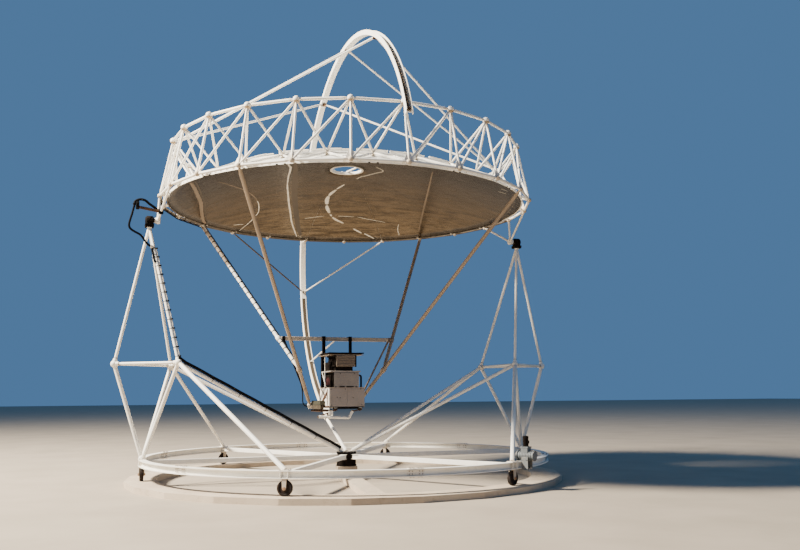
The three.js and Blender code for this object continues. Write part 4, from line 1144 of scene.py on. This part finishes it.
def arc_braces(side, name):
    """Three tubes that fan out from one foot to the arc, each with a knee at its end."""
    piece = Piece(f"arc_brace_{name}", WHITE)
    knees = Piece(f"arc_knees_{name}", RUSTY_STEEL if side < 0 else TAN)
    foot = Vector((side * BRACE_FOOT[0], 0, BRACE_FOOT[1]))
    piece.ball(foot, 0.055, 0.7)
    high = max(side * 0.001, side * 0.07)
    for angle in (-30, 0, 30):
        leg(piece, foot, on_arc(ARC_IN + 0.005, angle), 0.026, 0.05, 0.0, 0.0)
        place = along_arc(angle)
        far_corner = (ARC_IN - 0.001, 0.035, side * 0.07)
        knees.block((ARC_IN - 0.06, -0.035, side * 0.001), far_corner, place, wear=1.0)
        knees.tube(*(place @ Vector((ARC_IN - 0.035, y, high)) for y in (-0.05, 0.05)), 0.012, 8)
    leg(piece, foot, truss_top(0 if side > 0 else 12), 0.028, 0.05, 0.06, 0.0)
    piece.finish("dish", [f"arc_braces_{name}"])
    knees.finish("dish", slot="dark_steel")


def arc_stay(side, name):
    # The left stay is darkened as painted shade.
    piece = Piece(f"arc_stay_tube_{name}", SHADED_CHORD_PAINT if side < 0 else WHITE)
    end = on_arc(ARC_IN - 0.002, STAY_ANGLE, side * 0.03)
    leg(piece, truss_low(4 if side > 0 else 8), end, 0.02, 0.06, 0.02, 0.08)
    corners = (ARC_IN - 0.06, -0.05, side * 0.012), (ARC_IN - 0.001, 0.05, side * 0.024)
    piece.block(*corners, along_arc(STAY_ANGLE), wear=1.0)
    piece.finish("dish", [f"arc_stay_{name}"])


# Struts and engine frame
STRUT_R = 0.043
STRUT_MEET = 0.82
PLATE_WALL = 0.01
HOSE_R = 0.014
GUARD_ROUTE = ((-0.7, 1.435), (0.04, 1.4), (0.12, 1.555))


def strut_points(side):
    corner = Vector((side * CRADLE[0], CRADLE[1], CRADLE[2]))
    far_top = truss_low(3 if side > 0 else 9)
    near_top = truss_low(21 if side > 0 else 15)
    meet = near_top.lerp(corner, STRUT_MEET)
    beam_end = far_top.lerp(meet, (BEAM_Z - far_top.z) / (meet.z - far_top.z))
    return far_top, near_top, corner, meet, beam_end


def struts(side, name):
    """The two struts of one side, in painted shade; the left far one is white below the painted shadow on its
    upper length.
    """
    far_top, near_top, corner, meet, beam_end = strut_points(side)
    along = (meet - far_top).normalized()
    turn = far_top.lerp(meet, 0.3 if side < 0 else 0.6)
    # The sleeve over the far strut's upper length is the dish's shadow, painted.
    upper = Piece(f"far_strut_painted_shadow_{name}", SHADED_STRUT_PAINT)
    upper.tube(far_top + along * 0.06, turn, STRUT_R + 0.0002, 16, 0.0)
    upper.finish("dish")
    far = Piece(f"far_strut_tube_{name}", WHITE if side < 0 else SHADED_STRUT_PAINT)
    leg(far, far_top, meet, STRUT_R, 0.06, 0.08, 0.14)
    sleeve = [(0, 0.046), (0.01, 0.056), (0.11, 0.056), (0.12, 0.046)]
    far.turned(beam_end - along * 0.06, along, sleeve, 20)
    far.finish("dish", [f"far_strut_{name}"])
    near = Piece(f"near_strut_tube_{name}", SHADED_STRUT_PAINT)
    leg(near, near_top, corner, STRUT_R, 0.06, 0.07, 0.14)
    along = (corner - near_top).normalized()
    sleeve = [(0, 0.046), (0.015, 0.06), (0.145, 0.06), (0.16, 0.046)]
    near.turned(meet - along * 0.08, along, sleeve, 20)
    near.ball(meet, 0.068, 0.6)
    near.finish("dish", [f"near_strut_{name}"])


def channel(piece, x, width, z0, z1, back):
    """An upright channel, open to the front."""
    low, high = x - width / 2, x + width / 2
    web = POST_FRONT + 0.012
    piece.block((low, web, z0), (high, web + PLATE_WALL, z1), chamfer=0.002, wear=0.4)
    for at in (low, high - PLATE_WALL):
        piece.block((at, POST_FRONT, z0), (at + PLATE_WALL, back, z1), chamfer=0.002, wear=0.4)


def engine_frame():
    """Beam, hangers, cradle and rails, the posts and the arms to the arc."""
    piece = Piece("engine_cradle", WHITE)
    dark = Piece("engine_posts", BLACK_STEEL)
    # The right hanger takes the dark ribbed-panel paint as painted shade on white.
    pale = Piece("engine_hanger_right_painted_shade", RIBBED_PANEL)
    knots = Piece("cradle_corners", PALE_PANEL)
    # The beam's darker paint is painted shade on white.
    beam = Piece("engine_beam", SHADED_WHITE_PAINT)
    x, y, _ = strut_points(1)[4]
    half = 0.0475
    beam.block((0.06 - x, y - half, BEAM_Z - half), (x - 0.06, y + half, BEAM_Z + half), None, 0.008, 0.2)
    for side, hanger, inset in ((-1, dark, 0.13), (1, pale, 0.08)):
        corner = strut_points(side)[2]
        inner = Vector((side * (x - inset), y, BEAM_Z))
        hanger.tube(inner, corner, 0.023, 12)
        far_corner = inner + Vector((0.035, 0.053, 0.053))
        hanger.block(inner - Vector((0.035, 0.053, 0.065)), far_corner, chamfer=0.005)
        knots.ball(corner, 0.07, 0.9)
        for at in (-0.036, 0.024):
            knots.turned(corner + Vector((at, 0, 0)), (1, 0, 0), [(0, 0.078), (0.012, 0.078)], 20, False)
        for i in range(6):
            t = math.radians(60 * i)
            spot = corner + Vector((side * 0.036, 0.058 * math.cos(t), 0.058 * math.sin(t)))
            dark.bolt(spot, (side, 0, 0), 0.011, 0.014)
    cx, cy, cz = CRADLE
    piece.block((0.05 - cx, cy - 0.06, cz - 0.06), (cx - 0.05, cy + 0.06, cz + 0.06), None, 0.008, 0.3)
    low, high = HOUSING_BASE - 0.014 - CLEAR, HOUSING_BASE - CLEAR
    for rail in (-RAIL_X, RAIL_X):
        piece.block((rail - 0.04, HOUSING_FRONT + 0.01, low), (rail + 0.04, cy, high), wear=0.7)
    left_post = -POST_X - 0.008
    for post, width, z0, z1 in (
            (left_post, 0.068, PLATE_TOP + CLEAR, BEAM_Z + 0.06),
            (POST_X, 0.06, PLATE_TOP + CLEAR, BEAM_Z + 0.06),
            (-POST_X - 0.025, 0.09, HOUSING_BASE - 0.005, UPPER_TOP - CLEAR)):
        channel(dark, post, width, z0, z1, y - half + 0.004)
    for post in (left_post, POST_X):
        cap = (post + 0.036, y + half, BEAM_Z + 0.062)
        dark.block((post - 0.036, POST_FRONT, BEAM_Z + 0.05), cap, chamfer=0.003)
    piece.tube((0, cy + 0.03, cz), on_arc(ARC_IN, 150), 0.034, 14)
    piece.tube((0, y + 0.03, BEAM_Z), on_arc(ARC_IN, 130), 0.02, 12)
    piece.finish("dish", ["engine_frame"])
    pale.finish("dish", slot="engine_paint")
    finish_all("dish", (beam, knots), [dark])


def guard_bar():
    """The pale bar across the front of the engine, on two risers from the rails."""
    low = HOUSING_BASE - 0.054
    y = HOUSING_FRONT + 0.06
    left_end, bend, right_end = (Vector((x, y, z)) for x, z in GUARD_ROUTE)
    guard = Piece("guard_bar", CREAM)
    guard.hose(rounded((left_end, bend, right_end), 0.03), 0.033, 12)
    guard.block((-0.46, y - 0.04, 1.475), (-0.36, y + 0.03, 1.565), wear=0.4)
    risers = Piece("guard_risers", RUSTY_STEEL)
    for ends in ((Vector((-RAIL_X, y, low)), left_end), (right_end, Vector((RAIL_X, y, low)))):
        risers.tube(*ends, 0.014, 10)
        for end in ends:
            risers.ball(end, 0.03, 0.8, 2)
    for rail in (-RAIL_X, RAIL_X):
        far_corner = (rail + 0.045, y + 0.04, HOUSING_BASE - 0.015)
        risers.block((rail - 0.045, y - 0.04, low - 0.01), far_corner)
    finish_all("dish", [guard], [risers])


def platform():
    """The step left of the engine: folded side plates on a tray with ribs."""
    tan = Piece("platform_plates", PLATFORM_TAN)
    olive = Piece("platform_step", OLIVE)
    brown = Piece("platform_tray", RUSTY_STEEL)
    x0, x1, front = -0.585, -0.48, 0.2
    inner, back = -RAIL_X, CRADLE[1]
    plates = [
        (olive, 0.5, (x0, front, 1.7), (x1, 1.08, 1.71)),
        (olive, 0.3, (x0, front, 1.79), (x1, 1.08, 1.8)),
        (olive, 0.5, (x0, front, 1.7), (x0 + 0.008, 1.08, 1.8)),
        (olive, 0.7, (x0, front, 1.71), (x1, front + 0.008, 1.79)),
        (tan, 0.8, (x0 + 0.01, 0.22, 1.6), (x0 + 0.018, 1.06, 1.7)),
        (tan, 0.5, (x0 + 0.02, 0.24, 1.61), (x1 - 0.01, 0.25, 1.68)),
        (tan, 0.6, (-0.5, front, 1.585), (inner, back, 1.593)),
        (brown, 0.5, (x0, front, 1.54), (inner, back, 1.548)),
    ]
    for y in (0.22, 0.42, 0.62, 0.82, 1.02):
        plates.append((olive, 0.5, (x1 - 0.012, y, 1.7), (x1 - 0.004, y + 0.04, 1.79)))
    for y in (0.2, 0.45, 0.7, 0.95, 1.15):
        plates.append((brown, 0.0, (x0 + 0.005, y, 1.548), (inner, y + 0.008, 1.585)))
    for piece, wear, corner, far_corner in plates:
        piece.block(corner, far_corner, None, 0.002, wear)
    for i in range(6):
        y = 0.25 + i * 0.155
        tan.strap((x0 + 0.01, y, 1.61), (x0 + 0.01, y, 1.69), 0.03, (-0.004, 0, 0), 0.9)
    for y in (0.3, 0.62):
        brown.turned((-0.52, y, 1.593), UP, [(0, 0.03), (0.09, 0.03), (0.1, 0.02)], 16)
    finish_all("dish", (olive, tan), [brown])


# Engine package
SEAM = 0.012
CASE_BOLTS = [
    (-0.42, 2.07), (-0.07, 2.07), (0.3, 2.07), (-0.27, 1.88), (-0.2, 1.87), (0.12, 1.87), (-0.4, 1.7),
    (0.33, 1.7),
]
APERTURE = 0.095


def panel_seams(piece, low, high, columns):
    """Raised panels on the front and back of a housing, with the seams between them."""
    (x0, y0, z0), (x1, y1, z1) = low, high
    width = (x1 - x0) / columns
    for column in range(columns):
        left = x0 + width * column + SEAM
        right = x0 + width * (column + 1) - SEAM
        for y in (y0, y1 - SEAM):
            piece.block((left, y, z0 + SEAM), (right, y + SEAM, z1 - SEAM), chamfer=0.003, wear=0.5)


def lower_case():
    """The lower housing: front panel, bright left side with crossed straps, black strips of painted shadow
    under it.
    """
    front, base, top = HOUSING_FRONT, HOUSING_BASE, LOWER_TOP
    x0, x1, back = LOWER_CASE
    strap_low, strap_high = 1.69, 2.08
    inset = x0 + 0.008
    lower = Piece("engine_lower_case", ENGINE_PAINT)
    lower.block((inset, front + 0.006, base), (x1, back - 0.006, top - 0.001), chamfer=0.006, wear=0.3)
    panel_seams(lower, (inset, front, base + 0.03), (x1, back, top - 0.02), 2)
    lower.block((x0, front, top - 0.02), (x1, back, top), chamfer=0.003, wear=0.9)
    lower.finish("dish", ["engine_lower_housing"], "engine_paint")
    pale = Piece("engine_side_panel", CREAM)
    for y0, y1 in ((front + 0.01, 0.28), (0.29, back - 0.01)):
        pale.block((x0, y0, base + 0.04), (x0 + 0.009, y1, top - 0.022), chamfer=0.003, wear=0.2)
    straps = Piece("engine_side_straps", RUSTY_STEEL)
    for x, y0, z0, y1, z1, width in (
            (x0, 0.62, strap_high, 0.1, 1.86, 0.03),
            (x0 - 0.001, 0.65, strap_low, 0.0, 2.0, 0.085),
            (x0, 0.0, strap_low, 0.0, strap_high, 0.055),
            (x0, back - 0.03, strap_low, back - 0.03, strap_high, 0.05)):
        straps.strap((x, y0, z0), (x, y1, z1), width, (-0.008, 0, 0))
    straps.block((x0, front + 0.01, base), (x0 + 0.01, back - 0.01, base + 0.038), chamfer=0.003)
    # Black strips under the housing and along the foot of its front are painted shadow; the case bolts go in
    # the same piece.
    dark = Piece("engine_base_shadow_and_bolts", BLACK_STEEL)
    dark.blocks(0.003, 0.0,
                ((x0 + 0.1, front + 0.012, base - 0.034), (x1 - 0.1, front + 0.03, base + 0.001)),
                ((x0 + 0.02, front, base), (x1 - 0.02, front + 0.008, base + 0.02)))
    for x, z in CASE_BOLTS:
        dark.bolt((x, front, z), FORWARD, 0.011, 0.006)
    finish_all("dish", [pale], (straps, dark))


def middle_case():
    """The middle housing with its lid, and the pipe at its right."""
    front, low, under_lid = HOUSING_FRONT, LOWER_TOP + CLEAR, MIDDLE_TOP - LID
    x0, x1, back = MIDDLE_CASE
    middle = Piece("engine_middle_case", MIDDLE_PAINT)
    middle.block((x0, front + 0.006, low), (x1, back - 0.006, under_lid + 0.002), chamfer=0.006)
    panel_seams(middle, (x0, front, low + 0.04), (x1, back, under_lid), 1)
    middle.finish("dish", ["engine_middle_housing"], "engine_paint")
    lid = Piece("engine_lid", ENGINE_PAINT)
    lid.block((ROOF[0] + 0.04, front, under_lid + 0.006), (x1 + 0.045, back, MIDDLE_TOP), None, 0.006, 0.35)
    edge = x1 + 0.006
    lid.block((x1 - 0.03, front + 0.002, low + 0.02), (edge, front + 0.02, under_lid), None, 0.004, 0.3)
    lid.finish("dish", slot="engine_paint")
    pipe = Piece("engine_pipe", BLACK_STEEL)
    elbow = MIDDLE_TOP - 0.11
    route = [(PIPE_X, 0, low), (PIPE_X, 0, elbow), (x1 - 0.005, 0, elbow + 0.01)]
    pipe.hose(rounded(route, 0.045), 0.023, 14)
    for centre, axis in (((PIPE_X, 0, low), UP), ((x1, 0, elbow + 0.01), (1, 0, 0))):
        pipe.turned(centre, axis, [(0, 0.032), (0.012, 0.032)], 12, False)
    pipe.finish("dish", slot="dark_steel")


def side_machinery():
    """The machinery left of the middle housing: blocks, cylinders with their heads, a hose and bars."""
    front, low, under_lid = HOUSING_FRONT, LOWER_TOP + CLEAR, MIDDLE_TOP - LID
    x0, _, back = MIDDLE_CASE
    dark = Piece("engine_side_machinery_parts", BLACK_STEEL)
    fittings = (0.02, 0.04, 0.02), (0.13, 0.13, 0.028), (0.3, 0.18, 0.026), (0.52, 0.05, 0.02)
    for at, width, height in fittings:
        left = x0 + at
        dark.block((left, front - 0.002, low), (left + width, front + 0.01, low + height), chamfer=0.003)
    for x in (x0 + 0.15, x0 + 0.5):
        dark.bolt((x, front, under_lid - 0.03), FORWARD, 0.013, 0.006)
    dark.blocks(0.006, 0.0, ((-0.43, front + 0.06, low), (x0 - 0.001, 0.45, low + 0.05)))
    dark.blocks(0.002, 0.0, ((x0 - 0.008, front + 0.004, low), (x0 - 0.0005, back - 0.01, under_lid)))
    dark.blocks(0.004, 0.0, ((x0 - 0.06, 0.42, low), (x0 - 0.01, 0.45, under_lid - 0.02)))
    stops = [(0, 0.032), (0.08, 0.032), (0.09, 0.024), (0.2, 0.024), (0.21, 0.03), (0.24, 0.03)]
    for i in range(4):
        y = front + 0.12 + i * 0.125
        dark.turned((-0.388, y, low + 0.045), UP, [*stops, (0.25, 0.02)], 16)
    bend = [(-0.41, 0.4, 2.2), (-0.415, 0.25, 2.34), (-0.415, 0.05, 2.37), (-0.41, -0.05, 2.25)]
    dark.hose(smooth_path(bend), 0.013, 8)
    dark.tube((-0.43, 0.44, low), (-0.43, 0.44, under_lid), 0.012, 8)
    dark.finish("dish", ["engine_side_machinery"], "dark_steel")
    red = Piece("engine_heads", SHADED_MAROON)
    for i in range(3):
        y = front + 0.18 + i * 0.125
        red.turned((-0.4, y, low + 0.06), UP, [(0, 0.026), (0.16, 0.028), (0.18, 0.02)], 16)
    pale = Piece("engine_left_bars", CREAM)
    pale.strap((-0.472, 0.5, 2.487), (-0.476, 0.1, 2.127), 0.022, (-0.008, 0, 0), 0.3)
    pale.tube((-0.455, 0.3, low), (-0.455, 0.3, UPPER_TOP - 0.04), 0.007, 8)
    finish_all("dish", [pale], [red])


def upper_case():
    """The upper housing with its ribs, on the short legs and pipes that lift it off the lid."""
    front, lid, base, top = HOUSING_FRONT, MIDDLE_TOP + CLEAR, UPPER_BASE, UPPER_TOP
    x0, x1, back = UPPER_CASE
    left = x0 + 0.05
    upper = Piece("engine_upper_case", RIBBED_PANEL)
    upper.block((left, front + 0.012, base), (x1, back - 0.012, top - CLEAR), chamfer=0.004, wear=0.3)
    for i in range(7):
        z = base + 0.012 + i * 0.037
        upper.block((left, front, z), (x1, back, z + 0.018), chamfer=0.005, wear=0.4)
    upper.finish("dish", ["engine_upper_housing"], "engine_paint")
    dark = Piece("engine_upper_machinery", BLACK_STEEL)
    dark.blocks(0.004, 0.0,
                ((x0, front + 0.03, base), (left, back - 0.05, base + 0.03)),
                ((x0, front + 0.03, top - 0.04), (left, back - 0.05, top - 0.001)),
                ((x1 - 0.03, front - 0.001, base - 0.01), (x1 + 0.004, front + 0.03, top - 0.001)))
    for i in range(5):
        y = front + 0.07 + i * 0.13
        dark.tube((x0 + 0.024, y, base + 0.02), (x0 + 0.024, y, top - 0.004), 0.02, 12)
    for x, y in ((-0.27, -0.06), (0.11, -0.06), (-0.27, 0.5), (0.11, 0.5)):
        dark.block((x - 0.02, y - 0.02, lid), (x + 0.02, y + 0.02, base + 0.004), chamfer=0.003)
    for i in range(4):
        x = -0.2 + i * 0.085
        dark.tube((x, 0.05, lid), (x + 0.03, 0.05, base + 0.003), 0.018, 10)
    dark.blocks(0.006, 0.0, ((-0.29, front + 0.07, lid), (0.09, 0.53, base + 0.002)))
    dark.blocks(0.003, 0.0, ((x0, 0.1, lid), (x0 + 0.035, 0.74, base + 0.002)))
    dark.blocks(0.012, 0.0, ((x0 - 0.07, 0.12, lid), (x0 + 0.03, 0.5, base + 0.11)))
    for i in range(3):
        y = 0.02 + i * 0.11
        bend = [(x0 - 0.06, y, MIDDLE_TOP), (x0 - 0.065, y, base + 0.08), (x0 + 0.02, y, top - 0.06)]
        dark.hose(smooth_path(bend), HOSE_R, 8)
    dark.finish("dish", slot="dark_steel")


def sheet(piece, low, high, margin, seed):
    """A rough rectangular sheet with the round aperture in it; its edge wanders a little."""
    x0, x1, y0, y1 = ROOF[0] + margin, ROOF[1] - margin, HOUSING_FRONT + margin, ROOF[2] - margin
    corners = [(x0, y0), (x1, y0), (x1, y1), (x0, y1)]
    outline = []
    for (ax, ay), (bx, by) in zip(corners, corners[1:] + corners[:1]):
        outline += [(ax + (bx - ax) * i / 8, ay + (by - ay) * i / 8) for i in range(8)]
    rings = [[], [], [], []]
    for i, (x, y) in enumerate(outline):
        inward = 1 - 0.012 * (1 + math.sin(i * 2.3 + seed))
        dip = 0.004 * math.sin(i * 1.7 + seed)
        reach = APERTURE / math.hypot(x, y)
        points = ((x * reach, y * reach, low), (x * inward, y * inward, low + max(0.0, dip)),
                  (x * inward, y * inward, high + min(0.0, dip)), (x * reach, y * reach, high))
        for ring, point in zip(rings, points):
            ring.append(Vector(point))
    piece.loft([*rings, rings[0]], caps=False, smooth=False)


def receiver():
    """The roof over the engine: two rough sheets with packing between them and the round aperture."""
    dark = Piece("receiver_roof", BLACK_STEEL)
    sheet(dark, PLATE_TOP - 0.026, PLATE_TOP, 0.0, 1.0)
    sheet(dark, UPPER_TOP + 0.016, PLATE_TOP - 0.028, 0.05, 2.0)
    dark.finish("dish", ["receiver_plate"], "dark_steel")
    tan = Piece("receiver_lining", DULL_STRIP)
    sheet(tan, UPPER_TOP, UPPER_TOP + 0.015, 0.01, 3.0)
    tan.finish("dish", slot="dark_steel")


# Yokes and the cable at the left bearing
CONDUIT = [
    (-4.444, -0.1, 6.074), (-4.519, -0.25, 6.101), (-4.66, -0.3, 6.183), (-4.736, -0.3, 6.245),
    (-4.837, -0.3, 6.265), (-4.927, -0.3, 6.232), (-4.975, -0.3, 6.17), (-4.96, -0.3, 6.13),
]
CORNER_BEND = [
    (-0.845, 1.09, 2.2), (-0.822, 1.1, 2.09), (-0.81, 1.1, 1.989), (-0.806, 1.1, 1.868), (-0.802, 1.1, 1.777),
    (-0.775, 1.1, 1.706), (-0.728, 1.1, 1.672), (-0.66, 1.12, 1.67),
]


def yoke(side, name):
    """Three tubes from the truss to a pale boss, and the dark shaft that turns in the bearing."""
    piece = Piece(f"yoke_tubes_{name}", WHITE)
    dark = Piece(f"yoke_shaft_{name}", BLACK_STEEL)
    centre = Vector((side * YOKE_X, 0, AXIS_Z))
    for k in ((-1, 0, 1) if side > 0 else (11, 12, 13)):
        leg(piece, centre, truss_low(k), 0.026, 0.05, 0.06, 0.0)
    stops = [(-0.055, 0.055), (-0.05, 0.068), (-0.02, 0.072), (0.04, 0.072), (0.045, 0.06), (0.07, 0.06)]
    piece.turned(centre, (side, 0, 0), [*stops, (0.074, 0.05)], 28)
    reach = BEARING_X + 0.09 - YOKE_X
    dark.turned(centre, (side, 0, 0), [(0, 0.039), (reach - 0.005, 0.039), (reach, 0.034)])
    piece.finish("dish")
    dark.finish("dish", [f"yoke_{name}"], "dark_steel")


def cable_bracket():
    """The rusty arm on the left yoke, the black box on its end and the bent conduit clamped over it."""
    arm = Piece("cable_bracket", RUSTY_STEEL)
    black = Piece("cable_box", RUBBER)
    (x0, y0, z0), (x1, y1, z1) = BRACKET_BOX
    root = Vector((-YOKE_X, 0, AXIS_Z)).lerp(truss_low(13), 0.26)
    end = Vector((x1 - 0.02, (y0 + y1) / 2, 6.09))
    arm.tube(root, end, 0.033, 12)
    arm.finish("dish", slot="dark_steel")
    black.block((x0, y0, z0), (x1, y1, z1), chamfer=0.008, wear=0.3)
    black.block((x0 - 0.004, y0 + 0.012, z0 + 0.02), (x0, y1 - 0.012, z1 - 0.05), chamfer=0.002)
    plug = [(0, 0.02), (0.012, 0.02), (0.014, 0.012), (0.03, 0.012)]
    black.turned(((x0 + x1) / 2, y0, 6.17), FORWARD, plug, 12)
    gland = [(0, 0.026), (0.03, 0.026), (0.032, 0.022), (0.05, 0.022)]
    black.turned((x0 + 0.002, end.y, 6.17), (-1, 0, 0), gland, 14)
    black.hose(smooth_path(CONDUIT), 0.028, 12)
    black.strap((x1 - 0.03, end.y, z1 - 0.01), (x1 - 0.02, end.y, z1 + 0.05), 0.04, (0, 0.008, 0))
    black.block(root - Vector((0.05, 0.045, 0.055)), root + Vector((0.05, 0.045, 0.055)), chamfer=0.015)
    black.ball(Vector(CONDUIT[0]), 0.045, 0.3, 2)
    black.finish("dish", slot="dark_steel")


def elevation_cable():
    """The cable that hangs from the bracket to the tower leg, where a clip takes it."""
    path = smooth_path(CABLE_ROUTE, 3)
    curve = bpy.data.curves.new("elevation_loom", "CURVE")
    curve.dimensions = "3D"
    curve.bevel_depth = CABLE_RADIUS
    curve.bevel_resolution = 3
    curve.use_fill_caps = True
    spline = curve.splines.new("POLY")
    spline.points.add(len(path) - 1)
    for point, place in zip(spline.points, path):
        point.co = (*place, 1.0)
    loom = bpy.data.objects.new("elevation_loom", curve)
    loom.data.materials.append(RUBBER)
    bpy.context.scene.collection.objects.link(loom)
    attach(loom, "turntable")
    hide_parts("elevation_cable")


def tower_looms():
    """The pale cable tied to the left front leg, and the dark one along the hub brace below it."""
    mid = tower_mids(-1)["front"]
    apex = tower_apex(-1)
    hub_foot = hub_foot_of(-1)
    tied_cable("tower_loom", apex.lerp(mid, 0.17), mid.lerp(apex, 0.04), UPPER_LEG_R, "turntable",
               (1.28, -0.3, 0), 0.214, 0.012, PALE_PANEL, 0.045)
    tied_cable("tower_lead", apex.lerp(mid, 0.165), apex.lerp(mid, 0.27), UPPER_LEG_R, "turntable",
               (-1.28, -0.6, 0), 0.16, 0.02, lead=CABLE_ROUTE[-1])
    tied_cable("brace_loom", mid.lerp(hub_foot, 0.03), mid.lerp(hub_foot, 0.985), HUB_LEG_R, "turntable",
               (0, -0.3, 1), 0.7, 0.032, lead=mid + Vector((0.0, -0.02, 0.11)))


def dish_looms():
    """The dark cables round the far left of the truss, down the left far strut and at the cradle's corner."""
    for k in (12, 11, 10):
        tied_cable(f"truss_loom_{k}", truss_low(k), truss_low(k - 1), 0.033, "dish", (0, 0, -1), 0.28, 0.016)
    bend = Piece("corner_loom", RUBBER)
    bend.hose(smooth_path(CORNER_BEND), HOSE_R, 10)
    bend.finish("dish", slot="dark_steel")
    top, _, _, meet, _ = strut_points(-1)
    tied_cable("strut_loom", top.lerp(meet, 0.02), top.lerp(meet, 0.94), STRUT_R, "dish",
               (1.0, -0.35, 0), 0.19, 0.014, tail=-0.018, band=0.01)


# Camera, floor and light
SENSOR = 36.0
SKY_COLOUR = (0.13, 0.3, 0.6, 1.0)
SKY_STRENGTH = 0.6
SUN_PLACE = (-27.0, 0.8, 26.0)
SUN_TARGET = (0, 0, 4)
SUN_SIZE = 5
SUN_POWER = 70000
SUN_COLOUR = (1.0, 0.92, 0.78)
FLOOR_SIZE = 400
CAMERA_PLACE = (-5.562, -19.370, 1.915)
CAMERA_YAW = 0.3437
CAMERA_PITCH = 0.1424
CAMERA_ROLL = -0.0074
FOCAL_PIXELS = 839.0
PHOTO_WIDTH = 800


def camera():
    ahead = Vector((math.sin(CAMERA_YAW), math.cos(CAMERA_YAW), 0))
    forward = ahead * math.cos(CAMERA_PITCH) + Vector(UP) * math.sin(CAMERA_PITCH)
    right = Vector((ahead.y, -ahead.x, 0))
    up = right.cross(forward)
    c, s = math.cos(CAMERA_ROLL), math.sin(CAMERA_ROLL)
    right, up = c * right + s * up, c * up - s * right
    data = bpy.data.cameras.new("camera")
    data.sensor_width = SENSOR
    data.lens = FOCAL_PIXELS / PHOTO_WIDTH * SENSOR
    data.clip_end = 500
    item = bpy.data.objects.new("camera", data)
    turn = Matrix((right, up, -forward)).transposed().to_4x4()
    item.matrix_world = Matrix.Translation(CAMERA_PLACE) @ turn
    bpy.context.scene.collection.objects.link(item)
    bpy.context.scene.camera = item


def sun():
    data = bpy.data.lights.new("key", "AREA")
    data.shape = "DISK"
    data.size = SUN_SIZE
    data.energy = SUN_POWER
    data.color = SUN_COLOUR
    item = bpy.data.objects.new("key", data)
    aim = Vector(SUN_TARGET) - Vector(SUN_PLACE)
    item.rotation_euler = aim.to_track_quat("-Z", "Y").to_euler()
    item.location = SUN_PLACE
    bpy.context.scene.collection.objects.link(item)


def studio():
    world = bpy.data.worlds.new("studio")
    world.use_nodes = True
    background = world.node_tree.nodes["Background"]
    background.inputs["Color"].default_value = SKY_COLOUR
    background.inputs["Strength"].default_value = SKY_STRENGTH
    bpy.context.scene.world = world
    sun()
    bpy.ops.mesh.primitive_plane_add(size=FLOOR_SIZE, location=(0, 0, 0))
    floor = bpy.context.active_object
    floor.name = "studio_floor"
    look = Look("floor", 0.9)
    patches = look.ramp(look.noise(0.6, 8.0), 0.35, 0.7)
    look.colour(look.mix(patches, (0.4, 0.33, 0.25), (0.34, 0.28, 0.21)))
    look.bump(look.noise(40.0, 4.0), 0.1, 0.005)
    floor.data.materials.append(look.material)


camera()
elevation_cable()
studio()
foundation()
for index, ring_name in enumerate(RING_NAMES):
    ring_section(ring_name, 60 * index)
    fork(ring_name, 60 * index)
    wheel(ring_name, 60 * index)
hub()
azimuth_drive()
elevation_drive()
mirror()
mirror_trim()
painted_mirror_reflections()
for index in range(4):
    truss_quarter(index)
for index in range(3):
    arc_length(index)
arc_chain()
for side, name in ((-1, "left"), (1, "right")):
    tower(side, name)
    bearing(side, name)
    arc_braces(side, name)
    arc_stay(side, name)
    struts(side, name)
    yoke(side, name)
engine_frame()
guard_bar()
platform()
lower_case()
middle_case()
side_machinery()
upper_case()
receiver()
cable_bracket()
tower_looms()
dish_looms()
